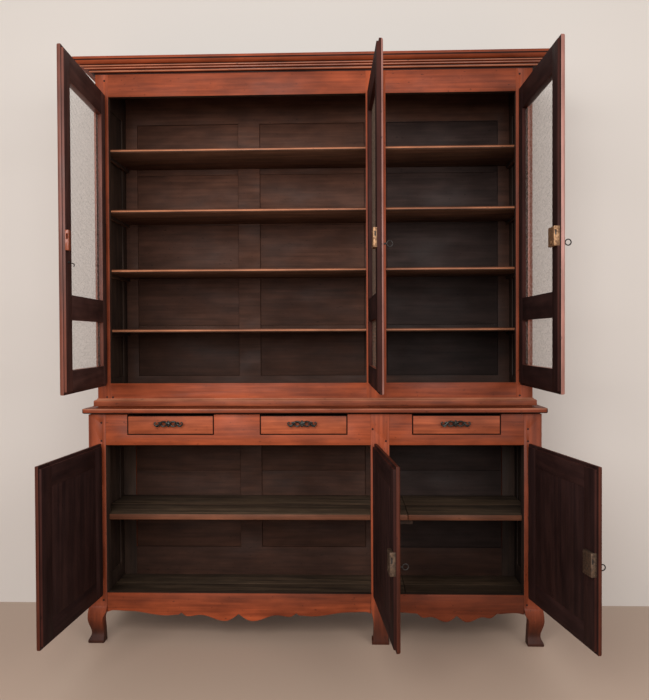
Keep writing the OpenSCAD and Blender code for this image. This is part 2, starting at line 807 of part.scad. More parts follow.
module frame_half(d) {
  for (z = hinge_places[d])
    translate([hinge_edge[d] - hand[d] * hinge_reach, face_y[d] - pin_depth, opening_bottom[d] + z]) {
      cylinder(r = barrel_r, h = knuckle);
      cylinder(r = pin_r, h = 2 * knuckle - 4);
      translate([0, 0, -finial_r * 0.6]) sphere(finial_r * 0.8);
      block([-wing_t / 2, 0, 0], [wing_t / 2, wing_reach, knuckle]);
    }
}

module door_half(d) {
  for (z = hinge_places[d]) translate([0, 0, z + knuckle + seat_gap]) difference() {
    union() {
      cylinder(r = barrel_r, h = knuckle);
      translate([0, 0, knuckle + finial_r * 0.6]) sphere(finial_r * 0.8);
      block([0, -wing_t / 2, 0], [wing_reach, wing_t / 2, knuckle]);
    }
    translate([0, 0, -1]) cylinder(r = pin_r + pin_gap, h = knuckle - 3);
  }
}

module frame_hinges() {
  color(IRON) in_frame() for (d = [UL : LR]) frame_half(d);
}

module upper_left_hinges() { color(IRON) hung(UL) door_half(UL); }
module upper_middle_hinges() { color(IRON) hung(UM) door_half(UM); }
module upper_right_hinges() { color(IRON) hung(UR) door_half(UR); }
module lower_left_hinges() { color(IRON) hung(LL) door_half(LL); }
module lower_middle_hinges() { color(IRON) hung(LM) door_half(LM); }
module lower_right_hinges() { color(IRON) hung(LR) door_half(LR); }

// A leaf without its openings: the lip in front and the rebated body behind it
module leaf(d) {
  block([pin_out, -pin_depth, -door_lap], [leaf_w[d], body_front, opening_h[d] + door_lap]);
  block([hinge_reach + rebate_gap, body_front, rebate_gap],
        [leaf_w[d] - edge_inset[d], body_back, opening_h[d] - rebate_gap]);
}

module door_slots(d) {
  for (z = hinge_places[d])
    block([0, -wing_t / 2 - slot_gap, z + knuckle + seat_gap - slot_gap],
          [wing_reach + slot_gap, wing_t / 2 + slot_gap, z + 2 * knuckle + seat_gap + slot_gap]);
}

// The bit of a key, and the hole it passes
bit_len = 9;
bit_t = 3;

module keyhole(d) {
  translate([key_x(d), -pin_depth - 1, key_z(d)]) {
    rotate([-90, 0, 0]) cylinder(r = key_r + 0.3, h = lip_t + body_t + 2);
    block([-bit_t / 2 - 0.5, 0, -bit_len - 1], [bit_t / 2 + 0.5, lip_t + body_t + 2, 0]);
  }
}

// Openings of a net door, wider at the back where the net lies on a ledge of each stile
net_bottoms = [door_bottom_rail - door_lap, door_bottom_rail - door_lap + low_net_h + door_middle_rail];
net_heights = [low_net_h, upper_bay_h + 2 * door_lap - door_bottom_rail - low_net_h
               - door_middle_rail - door_top_rail];
net_x = pin_out + door_stile_w;
ledge_y = -pin_depth + ledge_t;

function net_w(d) = leaf_w[d] - door_stile_w - net_x;

module net_door_frame(d, locked) {
  difference() {
    leaf(d);
    for (i = [0, 1]) {
      block([net_x, ledge_y, net_bottoms[i]],
            [net_x + net_w(d), body_back + 1, net_bottoms[i] + net_heights[i]]);
      block([net_x + net_ledge, -pin_depth - 1, net_bottoms[i]],
            [net_x + net_w(d) - net_ledge, body_back + 1, net_bottoms[i] + net_heights[i]]);
    }
    door_slots(d);
    if (locked) keyhole(d);
  }
}

module upper_left_door_frame() { color(CHERRY_DARK) hung(UL) net_door_frame(UL, false); }
module upper_middle_door_frame() { color(CHERRY_DARK) hung(UM) net_door_frame(UM, true); }
module upper_right_door_frame() { color(CHERRY_DARK) hung(UR) net_door_frame(UR, true); }

// Six-sided cells in staggered rows, inside a plain edge
module net_cells(w, h) {
  rows = floor(h / net_row);
  pitch_z = h / rows;
  pitch_x = w / net_cols;
  half_x = pitch_x / 2 - strand_w / 2;
  shoulder = pitch_z / 2 - strand_w;
  tip = pitch_z / 2 + strand_w;
  for (r = [0 : rows - 1]) for (c = [0 : net_cols - 1 - r % 2])
    translate([pitch_x * (c + 0.5 + (r % 2) / 2), pitch_z * (r + 0.5)])
      intersection() {
        polygon([[half_x, -shoulder + strand_w], [half_x, shoulder - strand_w], [0, tip - strand_w],
                 [-half_x, shoulder - strand_w], [-half_x, strand_w - shoulder], [0, strand_w - tip]]);
        square([pitch_x, pitch_z * 2], center = true);
      }
}

module net_sheet(d) {
  gap = 0.5;
  for (i = [0, 1]) {
    w = net_w(d) - 2 * gap;
    h = net_heights[i] - 2 * gap;
    translate([net_x + gap, ledge_y, net_bottoms[i] + gap]) stand(net_t) difference() {
      square([w, h]);
      translate([strand_w, strand_w]) net_cells(w - 2 * strand_w, h - 2 * strand_w);
    }
  }
}

module upper_left_net() { color(WIRE) hung(UL) net_sheet(UL); }
module upper_middle_net() { color(WIRE) hung(UM) net_sheet(UM); }
module upper_right_net() { color(WIRE) hung(UR) net_sheet(UR); }

// The wooden keeper that takes the bolt of the upper middle door
module upper_left_keeper() {
  edge = leaf_w[UL] - 2;
  low = bolt_low(UL) - opening_bottom[UL];
  color(CHERRY_DARK) hung(UL) difference() {
    block([edge - keeper_w, body_back, lock_z(UL) - keeper_h / 2],
          [edge, body_back + keeper_t, lock_z(UL) + keeper_h / 2]);
    block([edge - keeper_w + 8, body_back + lock_t / 2 - bolt_t / 2 - 1, low - 1],
          [edge + 1, body_back + lock_t / 2 + bolt_t / 2 + 1, low + bolt_h + 1]);
  }
}

// A wire hook that turns on a screw in the stile of the upper left door
hook_bend = 5;

module door_hook() {
  x = leaf_w[UL] - 32;
  y = body_back + 3;
  color(IRON) hung(UL) translate([x, 0, hook_z]) {
    translate([0, body_back + seat_gap, 0]) rotate([-90, 0, 0]) cylinder(r = 3.5, h = 5.5);
    translate([0, y, 0]) rotate([0, -90, 0]) cylinder(r = wire_r, h = hook_len - 8);
    translate([8 - hook_len, y, -hook_bend]) rotate([90, 0, 0]) rotate([0, 0, 90])
      rotate_extrude(angle = 180) translate([hook_bend, 0]) circle(wire_r, $fn = 16);
  }
}

// A raised panel floats in the grooves of a lower door's frame
module panel_space(d, gap) {
  x0 = pin_out + panel_stile_w;
  x1 = leaf_w[d] - panel_stile_w;
  z0 = panel_stile_w - door_lap;
  z1 = opening_h[d] + door_lap - panel_stile_w;
  groove_y = body_back - panel_t + groove_back;
  block([x0 - groove + gap, groove_y + gap / 2, z0 - groove + gap],
        [x1 + groove - gap, body_back - groove_back - gap / 2, z1 + groove - gap]);
}

module panelled_door(d, locked) {
  x0 = pin_out + panel_stile_w;
  x1 = leaf_w[d] - panel_stile_w;
  z0 = panel_stile_w - door_lap;
  z1 = opening_h[d] + door_lap - panel_stile_w;
  g = wood_gap;
  difference() {
    leaf(d);
    block([x0, -pin_depth - 1, z0], [x1, body_back + 1, z1]);
    panel_space(d, 0);
    door_slots(d);
    if (locked) keyhole(d);
  }
  panel_space(d, g);
  block([x0 + g, body_back - groove_back - 1, z0 + g], [x1 - g, body_back, z1 - g]);
  field_y = body_back - panel_t + groove_back - field_rise;
  block([x0 + bevel_w, field_y, z0 + bevel_w], [x1 - bevel_w, field_y + field_rise + 1, z1 - bevel_w]);
}

module lower_left_door() { color(CHERRY_DARK) hung(LL) panelled_door(LL, false); }
module lower_middle_door() { color(CHERRY_DARK) hung(LM) panelled_door(LM, true); }
module lower_right_door() { color(CHERRY_DARK) hung(LR) panelled_door(LR, true); }

// A lock case is a shallow box screwed to the inner face, open towards the door
module lock_case(d) {
  x1 = lock_edge(d);
  x0 = x1 - lock_w(d);
  z0 = lock_z(d) - lock_h(d) / 2;
  z1 = z0 + lock_h(d);
  low = bolt_low(d) - opening_bottom[d];
  y = body_back;
  g = wood_gap;
  difference() {
    block([x0, y, z0], [x1, y + lock_t, z1]);
    block([x0 + lock_wall, y - 1, z0 + lock_wall],
          [x1 - lock_wall, y + lock_t - lock_wall, z1 - lock_wall]);
    block([x1 - lock_wall - 1, y + lock_t / 2 - bolt_t / 2 - g, low - g],
          [x1 + 1, y + lock_t / 2 + bolt_t / 2 + g, low + bolt_h + g]);
  }
}

module lock_bolt(d) {
  low = bolt_low(d) - opening_bottom[d];
  y = body_back + lock_t / 2;
  block([lock_edge(d) - bolt_len, y - bolt_t / 2, low],
        [lock_edge(d) + bolt_out[d], y + bolt_t / 2, low + bolt_h]);
}

// A key: ring bow, collar, stem through the door and a bit that hangs down
module key(d) {
  len = lip_t + body_t + lock_t - lock_wall - 1.5;
  translate([key_x(d), -pin_depth, key_z(d)]) {
    translate([0, -bow_out, 0]) rotate([-90, 0, 0]) cylinder(r = key_r, h = bow_out + len);
    translate([0, -4, 0]) rotate([-90, 0, 0]) cylinder(r = key_r + 2, h = 3);
    translate([-2, -bow_out - bow_r + 2, 0]) rotate([0, 90, 0]) difference() {
      cylinder(r = bow_r, h = 4);
      translate([0, 0, -1]) cylinder(r = bow_r - 5, h = 6);
    }
    block([-bit_t / 2, len - 6, -bit_len], [bit_t / 2, len - 2, 0]);
  }
}

module upper_middle_lock() { color(BRASS) hung(UM) lock_case(UM); }
module upper_right_lock() { color(BRASS) hung(UR) lock_case(UR); }
module lower_middle_lock() { color(BRASS) hung(LM) lock_case(LM); }
module lower_right_lock() { color(BRASS) hung(LR) lock_case(LR); }
module upper_middle_bolt() { color(STEEL) hung(UM) lock_bolt(UM); }
module upper_right_bolt() { color(STEEL) hung(UR) lock_bolt(UR); }
module lower_middle_bolt() { color(STEEL) hung(LM) lock_bolt(LM); }
module lower_right_bolt() { color(STEEL) hung(LR) lock_bolt(LR); }
module upper_middle_key() { color(IRON) hung(UM) key(UM); }
module upper_right_key() { color(IRON) hung(UR) key(UR); }
module lower_middle_key() { color(IRON) hung(LM) key(LM); }
module lower_right_key() { color(IRON) hung(LR) key(LR); }

// A drawer: a front, a box of two sides, a back and a bottom, and a scrolled pull
module drawer_front(x) {
  in_frame() block([x - drawer_w / 2, 0, drawer_z],
                   [x + drawer_w / 2, drawer_front_t, drawer_z + drawer_h]);
}

module drawer_box(x) {
  y0 = drawer_front_t;
  y1 = drawer_front_t + drawer_len;
  half = drawer_w / 2;
  bottom_z = drawer_z + 5;
  in_frame() translate([x, 0, 0]) {
    both_ends() block([half - drawer_side_t, y0, drawer_z], [half, y1, drawer_z + drawer_side_h]);
    block([-half, y1 - drawer_side_t, drawer_z], [half, y1, drawer_z + drawer_side_h]);
    block([-half, y0, bottom_z], [half, y1, bottom_z + drawer_bottom_t]);
  }
}

pull_shift = -5;
pull_z = 44;

// One arm of the pull: two scrolls, with a leaf below them that runs out to a tip
module scroll_arm() {
  r = pull_h * 0.36;
  near = pull_stem_gap / 2 - r * 0.4;
  far = near + r * 1.7;
  tip = pull_w / 2;
  translate([near, 0]) difference() {
    circle(r);
    translate([r * 0.1, -r * 0.25]) circle(r * 0.55);
  }
  translate([far, r * 0.2]) difference() {
    circle(r * 0.82);
    translate([-r * 0.1, r * 0.35]) circle(r * 0.5);
  }
  polygon([[near + r * 0.6, -r * 0.8], [far, -r * 0.65], [tip, r * 0.35], [far + r * 0.65, r * 0.3],
           [far, -r * 0.35], [near + r * 0.6, -r * 0.4]]);
}

module pull(x) {
  boss_r = pull_h * 0.4;
  in_frame() translate([x + pull_shift, 0, drawer_z + pull_z]) {
    translate([0, -pull_reach - pull_t, 0]) stand(pull_t) {
      circle(boss_r);
      square([pull_stem_gap, pull_h * 0.18], center = true);
      scroll_arm();
      mirror([1, 0]) scroll_arm();
    }
    for (s = [-1, 1]) translate([s * pull_stem_gap / 2, 0, 0]) rotate([90, 0, 0]) {
      cylinder(r = 3, h = pull_reach + 1);
      cylinder(r = 6.5, h = 2);
    }
  }
}

module left_drawer_front() { color(CHERRY) drawer_front(drawer_x[0]); }
module middle_drawer_front() { color(CHERRY) drawer_front(drawer_x[1]); }
module right_drawer_front() { color(CHERRY) drawer_front(drawer_x[2]); }
module left_drawer_box() { color(INSIDE) drawer_box(drawer_x[0]); }
module middle_drawer_box() { color(INSIDE) drawer_box(drawer_x[1]); }
module right_drawer_box() { color(INSIDE) drawer_box(drawer_x[2]); }
module left_drawer_pull() { color(IRON) pull(drawer_x[0]); }
module middle_drawer_pull() { color(IRON) pull(drawer_x[1]); }
module right_drawer_pull() { color(IRON) pull(drawer_x[2]); }

lower_front_posts();
lower_rear_posts();
frieze_rails();
apron_rails();
lower_back();
lower_sides();
lower_shelf_boards();
lower_floor_boards();
bearers();
drawer_runners();
top_plank();
upper_front_stiles();
upper_front_rails();
cornice();
base_moulding();
upper_sides();
upper_back();
upper_shelves();
upper_floor_and_top();
shelf_cleats();
joint_pegs();
frame_hinges();
upper_left_door_frame();
upper_left_net();
upper_left_hinges();
upper_left_keeper();
door_hook();
upper_middle_door_frame();
upper_middle_net();
upper_middle_hinges();
upper_middle_lock();
upper_middle_bolt();
upper_middle_key();
upper_right_door_frame();
upper_right_net();
upper_right_hinges();
upper_right_lock();
upper_right_bolt();
upper_right_key();
lower_left_door();
lower_left_hinges();
lower_middle_door();
lower_middle_hinges();
lower_middle_lock();
lower_middle_bolt();
lower_middle_key();
lower_right_door();
lower_right_hinges();
lower_right_lock();
lower_right_bolt();
lower_right_key();
left_drawer_front();
left_drawer_box();
left_drawer_pull();
middle_drawer_front();
middle_drawer_box();
middle_drawer_pull();
right_drawer_front();
right_drawer_box();
right_drawer_pull();
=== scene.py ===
from collections import namedtuple
import json
import math
import random

import bmesh
import bpy
from mathutils import Matrix, Vector

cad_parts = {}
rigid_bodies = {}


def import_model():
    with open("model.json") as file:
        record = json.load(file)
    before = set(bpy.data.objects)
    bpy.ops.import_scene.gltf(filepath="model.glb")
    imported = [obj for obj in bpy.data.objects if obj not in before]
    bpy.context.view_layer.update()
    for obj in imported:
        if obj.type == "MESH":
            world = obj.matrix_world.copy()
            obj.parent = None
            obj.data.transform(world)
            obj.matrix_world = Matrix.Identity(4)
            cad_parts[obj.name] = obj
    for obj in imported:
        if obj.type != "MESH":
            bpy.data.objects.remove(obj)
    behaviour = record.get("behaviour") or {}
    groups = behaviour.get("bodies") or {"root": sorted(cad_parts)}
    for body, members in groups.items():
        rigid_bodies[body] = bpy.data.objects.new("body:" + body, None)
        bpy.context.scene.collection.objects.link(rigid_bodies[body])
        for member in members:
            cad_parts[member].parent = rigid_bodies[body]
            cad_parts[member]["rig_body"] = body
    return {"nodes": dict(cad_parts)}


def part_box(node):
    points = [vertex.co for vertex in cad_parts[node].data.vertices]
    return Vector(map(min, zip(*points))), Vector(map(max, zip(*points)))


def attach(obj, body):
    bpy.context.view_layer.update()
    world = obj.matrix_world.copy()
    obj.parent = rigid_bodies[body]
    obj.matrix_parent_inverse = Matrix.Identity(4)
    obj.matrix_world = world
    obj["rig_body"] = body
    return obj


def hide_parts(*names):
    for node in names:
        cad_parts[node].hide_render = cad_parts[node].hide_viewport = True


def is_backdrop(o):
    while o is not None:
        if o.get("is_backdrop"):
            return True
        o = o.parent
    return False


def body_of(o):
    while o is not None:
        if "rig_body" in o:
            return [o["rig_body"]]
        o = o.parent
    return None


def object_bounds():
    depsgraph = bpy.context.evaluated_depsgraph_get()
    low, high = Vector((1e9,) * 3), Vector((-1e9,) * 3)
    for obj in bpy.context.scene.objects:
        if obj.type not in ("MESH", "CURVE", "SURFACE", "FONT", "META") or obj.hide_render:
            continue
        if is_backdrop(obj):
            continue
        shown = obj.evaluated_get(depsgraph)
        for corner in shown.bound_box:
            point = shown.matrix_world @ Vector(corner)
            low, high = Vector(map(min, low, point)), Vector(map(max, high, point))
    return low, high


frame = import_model()
cad_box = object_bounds()
scene = bpy.context.scene

# Camera: stands a little right of the middle, about 3 m in front and 1.2 m above the floor, and
# is turned slightly to the left and down. FRONT_X and FRONT_Y, the middle of the low cupboard's
# front, come from the top plank, and most places below are measured from them.
PLANK_OVERHANG = 0.0255
plank_low, plank_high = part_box("top_plank")
FRONT_X = (plank_low[0] + plank_high[0]) / 2
FRONT_Y = plank_low[1] + PLANK_OVERHANG
EYE_RIGHT = 0.1462
EYE_BEFORE = 3.0066
EYE_HEIGHT = 1.2128
FOCAL_LENGTH = 39.39
yaw = math.radians(1.891)
pitch = math.radians(-0.936)
roll = math.radians(-0.271)
ahead = Vector((-math.sin(yaw) * math.cos(pitch), math.cos(yaw) * math.cos(pitch), math.sin(pitch)))
level = Vector((math.cos(yaw), math.sin(yaw), 0))
rise = level.cross(ahead)
right = math.cos(roll) * level + math.sin(roll) * rise
above = math.cos(roll) * rise - math.sin(roll) * level
lens = bpy.data.cameras.new("camera")
lens.lens = FOCAL_LENGTH
lens.sensor_width = 36
lens.clip_start = 0.05
camera = bpy.data.objects.new("camera", lens)
scene.collection.objects.link(camera)
stand = Matrix.Translation((FRONT_X + EYE_RIGHT, FRONT_Y - EYE_BEFORE, EYE_HEIGHT))
camera.matrix_world = stand @ Matrix((right, above, -ahead)).transposed().to_4x4()
scene.camera = camera

# Light: a large soft lamp high on the left behind the camera, a weaker one on the right, and an
# even room light from the world.
scene.view_settings.view_transform = "Standard"
world = bpy.data.worlds.new("room")
scene.world = world
world.use_nodes = True
world.node_tree.nodes["Background"].inputs["Color"].default_value = (1, 0.985, 0.97, 1)
world.node_tree.nodes["Background"].inputs["Strength"].default_value = 0.5


def add_lamp(name, place, target, size, power):
    lamp = bpy.data.lights.new(name, "AREA")
    lamp.shape = "RECTANGLE"
    lamp.size = size[0]
    lamp.size_y = size[1]
    lamp.energy = power
    holder = bpy.data.objects.new(name, lamp)
    scene.collection.objects.link(holder)
    holder.location = place
    holder.rotation_mode = "QUATERNION"
    holder.rotation_quaternion = (Vector(target) - Vector(place)).to_track_quat("-Z", "Y")


add_lamp("window_lamp", place=(-0.9, -3.9, 2.5), target=(0, 0, 1.1), size=(3.0, 2.4), power=134)
add_lamp("side_lamp", place=(2.2, -3.4, 2.0), target=(0.1, 0, 1.1), size=(2.0, 1.8), power=48)

# Stage: a plain floor and a plain pale wall close behind the cabinet. The wall only shows from
# the front and lets the room's light through, so that the cabinet's back can be seen as well.
STAGE_REACH = 9
WALL_TOP = 6
WALL_Y = FRONT_Y + 0.457


def plain_finish(name, colour, roughness):
    finish = bpy.data.materials.new(name)
    finish.use_nodes = True
    shader = finish.node_tree.nodes["Principled BSDF"]
    shader.inputs["Base Color"].default_value = (*colour, 1)
    shader.inputs["Roughness"].default_value = roughness
    return finish


def show_from_front(finish):
    """Hides a finish from behind and from the rays that carry light."""
    nodes = finish.node_tree.nodes
    link = finish.node_tree.links.new
    ray = nodes.new("ShaderNodeLightPath")
    seen = ray.outputs["Is Camera Ray"]
    for kind in ("Is Glossy Ray", "Is Transmission Ray"):
        either = nodes.new("ShaderNodeMath")
        either.operation = "MAXIMUM"
        link(seen, either.inputs[0])
        link(ray.outputs[kind], either.inputs[1])
        seen = either.outputs[0]
    side = nodes.new("ShaderNodeNewGeometry")
    front_only = nodes.new("ShaderNodeMath")
    front_only.operation = "SUBTRACT"
    front_only.use_clamp = True
    link(seen, front_only.inputs[0])
    link(side.outputs["Backfacing"], front_only.inputs[1])
    clear = nodes.new("ShaderNodeBsdfTransparent")
    shown = nodes.new("ShaderNodeMixShader")
    link(front_only.outputs[0], shown.inputs["Fac"])
    link(clear.outputs["BSDF"], shown.inputs[1])
    link(nodes["Principled BSDF"].outputs["BSDF"], shown.inputs[2])
    link(shown.outputs["Shader"], nodes["Material Output"].inputs["Surface"])
    return finish


def deselect():
    if bpy.context.object and bpy.context.object.mode == "EDIT":
        bpy.ops.object.mode_set(mode="OBJECT")
    bpy.ops.object.select_all(action="DESELECT")


def stage_plane(name, corners, finish):
    deselect()
    bpy.ops.mesh.primitive_plane_add(size=2)
    plane = bpy.context.object
    plane.name = name
    for vertex, corner in zip(plane.data.vertices, corners):
        vertex.co = corner
    plane.data.materials.append(finish)
    plane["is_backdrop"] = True


ends = (-STAGE_REACH, STAGE_REACH)
stage_plane("floor", [(x, y, 0) for y in ends for x in ends],
            plain_finish("pale_floor", (0.49, 0.355, 0.27), 0.6))
stage_plane("wall", [(x, WALL_Y, z) for z in (0, WALL_TOP) for x in ends],
            show_from_front(plain_finish("pale_wall", (0.66, 0.61, 0.565), 0.95)))


# Front posts of the low cupboard: three posts of solid cherry, waxed, whose lower ends are sawn
# and rasped into curved feet. The rails are mortised into them. Their rounded upright edges are
# painted near-black, and the feet have darkened towards the floor.
def grain_group():
    """Grain, figure and wear of a board, from its own place with the board's length first."""
    group = bpy.data.node_groups.new("wood_grain", "ShaderNodeTree")
    for name, kind in (("Vector", "NodeSocketVector"), ("Light", "NodeSocketColor"),
                       ("Dark", "NodeSocketColor"), ("Board", "NodeSocketFloat"),
                       ("Figure", "NodeSocketFloat")):
        group.interface.new_socket(name, in_out="INPUT", socket_type=kind)
    for name, kind in (("Color", "NodeSocketColor"), ("Fibre", "NodeSocketFloat"),
                       ("Wear", "NodeSocketFloat")):
        group.interface.new_socket(name, in_out="OUTPUT", socket_type=kind)
    nodes = group.nodes
    link = group.links.new
    source = nodes.new("NodeGroupInput")
    result = nodes.new("NodeGroupOutput")

    def noise(scale, detail, along, distortion=0.0):
        """A cloud whose features run on along the board: along is how much slower it changes."""
        place = nodes.new("ShaderNodeMapping")
        place.inputs["Scale"].default_value = (along, 1, 1)
        link(source.outputs["Vector"], place.inputs["Vector"])
        cloud = nodes.new("ShaderNodeTexNoise")
        cloud.inputs["Scale"].default_value = scale
        cloud.inputs["Detail"].default_value = detail
        cloud.inputs["Distortion"].default_value = distortion
        link(place.outputs["Vector"], cloud.inputs["Vector"])
        return cloud.outputs["Fac"]

    def combine(kind, a, b, clamp=False):
        step = nodes.new("ShaderNodeMath")
        step.operation = kind
        step.use_clamp = clamp
        for socket, value in zip(step.inputs, (a, b)):
            if isinstance(value, (int, float)):
                socket.default_value = value
            else:
                link(value, socket)
        return step.outputs[0]

    def weighed(a, share_a, b, share_b, clamp=False):
        return combine("ADD", combine("MULTIPLY", a, share_a), combine("MULTIPLY", b, share_b), clamp)

    def fit(value, low, high, to_low=0.0, to_high=1.0):
        span = nodes.new("ShaderNodeMapRange")
        span.inputs["From Min"].default_value = low
        span.inputs["From Max"].default_value = high
        span.inputs["To Min"].default_value = to_low
        span.inputs["To Max"].default_value = to_high
        link(value, span.inputs["Value"])
        return span.outputs["Result"]

    def coloured(a, b, factor, blend="MIX"):
        mix = nodes.new("ShaderNodeMix")
        mix.data_type = "RGBA"
        mix.blend_type = blend
        if isinstance(factor, int):
            mix.inputs["Factor"].default_value = factor
        else:
            link(factor, mix.inputs["Factor"])
        link(a, mix.inputs["A"])
        link(b, mix.inputs["B"])
        return mix.outputs["Result"]

    broad = noise(scale=30, detail=5, along=0.05, distortion=0.5)
    narrow = noise(scale=95, detail=4, along=0.04, distortion=0.3)
    streaks = fit(weighed(broad, 0.4, narrow, 0.6), 0.36, 0.64)
    fibres = noise(scale=330, detail=3, along=0.025)
    bend = nodes.new("ShaderNodeMapping")
    bend.inputs["Scale"].default_value = (0.07, 1, 1)
    link(source.outputs["Vector"], bend.inputs["Vector"])
    rings = nodes.new("ShaderNodeTexWave")
    rings.wave_type = "BANDS"
    rings.bands_direction = "DIAGONAL"
    rings.inputs["Scale"].default_value = 9
    rings.inputs["Distortion"].default_value = 9
    rings.inputs["Detail"].default_value = 3
    rings.inputs["Detail Scale"].default_value = 1.6
    link(bend.outputs["Vector"], rings.inputs["Vector"])
    figured = source.outputs["Figure"]
    wood = weighed(rings.outputs["Fac"], figured, streaks, combine("SUBTRACT", 1, figured))
    tone = coloured(source.outputs["Dark"], source.outputs["Light"],
                    weighed(wood, 0.8, fibres, 0.25, clamp=True))
    patches = fit(noise(scale=5, detail=3, along=0.6), 0.3, 0.7, 0.86, 1.12)
    # the board's tone, which also carries the painted shade that lay_grain writes
    board = fit(source.outputs["Board"], -1, 1, 0.28, 1.16)
    mottle = fit(noise(scale=24, detail=5, along=0.4), 0.32, 0.68, 0.78, 1.18)
    flecks = fit(noise(scale=130, detail=2, along=0.45), 0.69, 0.74, 1, 0.5)
    spots = combine("MULTIPLY", mottle, flecks)
    strength = combine("MULTIPLY", combine("MULTIPLY", patches, board), spots)
    grey = nodes.new("ShaderNodeCombineColor")
    for channel in ("Red", "Green", "Blue"):
        link(strength, grey.inputs[channel])
    link(coloured(tone, grey.outputs["Color"], 1, "MULTIPLY"), result.inputs["Color"])
    link(weighed(streaks, 0.5, fibres, 0.5), result.inputs["Fibre"])
    link(fit(noise(scale=9, detail=5, along=0.5), 0.35, 0.65), result.inputs["Wear"])
    return group


wood_grain = grain_group()
# near-black that dirt and painted shade mix into a finish
GRIME_AND_SHADE = (0.006, 0.004, 0.003)


def wood_finish(name, light, dark, figure, gloss, dull, shine):
    """A wood of light and dark grain, between a glossy and a dull sheen, with open pores."""
    finish = bpy.data.materials.new(name)
    finish.use_nodes = True
    nodes = finish.node_tree.nodes
    link = finish.node_tree.links.new
    shader = nodes["Principled BSDF"]
    read = {}
    for what in ("grain", "board", "grime"):
        read[what] = nodes.new("ShaderNodeAttribute")
        read[what].attribute_name = what
    grain = nodes.new("ShaderNodeGroup")
    grain.node_tree = wood_grain
    grain.inputs["Light"].default_value = (*light, 1)
    grain.inputs["Dark"].default_value = (*dark, 1)
    grain.inputs["Figure"].default_value = figure
    link(read["grain"].outputs["Vector"], grain.inputs["Vector"])
    link(read["board"].outputs["Fac"], grain.inputs["Board"])
    # dirt and painted shade darken the grain towards near-black
    soiled_and_shaded = nodes.new("ShaderNodeMix")
    soiled_and_shaded.data_type = "RGBA"
    link(read["grime"].outputs["Fac"], soiled_and_shaded.inputs["Factor"])
    link(grain.outputs["Color"], soiled_and_shaded.inputs["A"])
    soiled_and_shaded.inputs["B"].default_value = (*GRIME_AND_SHADE, 1)
    link(soiled_and_shaded.outputs["Result"], shader.inputs["Base Color"])
    shader.inputs["Specular IOR Level"].default_value = shine
    sheen = nodes.new("ShaderNodeMapRange")
    sheen.inputs["To Min"].default_value = gloss
    sheen.inputs["To Max"].default_value = dull
    link(grain.outputs["Wear"], sheen.inputs["Value"])
    link(sheen.outputs["Result"], shader.inputs["Roughness"])
    pores = nodes.new("ShaderNodeBump")
    pores.inputs["Strength"].default_value = 0.15
    pores.inputs["Distance"].default_value = 0.002
    link(grain.outputs["Fibre"], pores.inputs["Height"])
    link(pores.outputs["Normal"], shader.inputs["Normal"])
    return finish


def boards_of(shape):
    """Yields the corners of each separate board of a mesh."""
    seen = set()
    for start in shape.verts:
        if start.index in seen:
            continue
        corners = []
        queue = [start]
        seen.add(start.index)
        while queue:
            vertex = queue.pop()
            corners.append(vertex)
            for edge in vertex.link_edges:
                other = edge.other_vert(vertex)
                if other.index not in seen:
                    seen.add(other.index)
                    queue.append(other)
        yield corners


def unsoiled_unshaded(place):
    return 0.0


# A board's shade runs from -1, nearly black, to 1, the finish's own colour. Boards differ a little,
# and painted shade darkens them towards the cabinet's two ends and to the right, by so much for a
# metre.
BOARD_SHADE = 0.55
SHADE_SPREAD = 0.25
END_BEGINS = 0.55
END_PAINTED_SHADE = 1.43
RIGHT_PAINTED_SHADE = 0.5


def lay_grain(piece, finish, others=(), grime=unsoiled_unshaded):
    """Paints a piece and writes each board's grain, shade and dirt into its mesh. Each pair in
    others is a finish and a test that picks its faces; the last argument tells how much dirt and
    painted shade darken a place."""
    mesh = piece.data
    mesh.materials.clear()
    mesh.materials.append(finish)
    for slot, (other, chosen) in enumerate(others, 1):
        mesh.materials.append(other)
        for face in mesh.polygons:
            if chosen(face):
                face.material_index = slot
    shape = bmesh.new()
    shape.from_mesh(mesh)
    shape.verts.ensure_lookup_table()
    grain = shape.verts.layers.float_vector.new("grain")
    board = shape.verts.layers.float.new("board")
    soil_and_shade = shape.verts.layers.float.new("grime")
    draw = random.Random(piece.name)
    for corners in boards_of(shape):
        spans = [max(v.co[i] for v in corners) - min(v.co[i] for v in corners) for i in range(3)]
        along = spans.index(max(spans))
        across, through = [i for i in range(3) if i != along]
        shift = Vector((draw.uniform(-9, 9), draw.uniform(-3, 3), draw.uniform(-3, 3)))
        shade = BOARD_SHADE + SHADE_SPREAD * (draw.random() - 0.5)
        for vertex in corners:
            place = vertex.co
            off_middle = place.x - FRONT_X
            to_the_end = max(0.0, abs(off_middle) - END_BEGINS)
            vertex[grain] = Vector((place[along], place[across], place[through])) + shift
            # painted shade: the tone falls towards the cabinet's ends and to the right
            vertex[board] = shade - END_PAINTED_SHADE * to_the_end - RIGHT_PAINTED_SHADE * max(0.0, off_middle)
            vertex[soil_and_shade] = grime(place)
    shape.to_mesh(mesh)
    shape.free()


def round_edges(piece, width):
    rounding = piece.modifiers.new("rounding", "BEVEL")
    rounding.width = width
    rounding.segments = 2
    rounding.limit_method = "ANGLE"
    rounding.angle_limit = math.radians(35)
    deselect()
    bpy.context.view_layer.objects.active = piece
    piece.select_set(True)
    bpy.ops.object.modifier_apply(modifier=rounding.name)
    bpy.ops.object.shade_smooth_by_angle(angle=math.radians(40))


SAME_CORNER = 0.00002
SAME_FLAT = math.radians(0.6)
FOOT_BAND = 0.0005


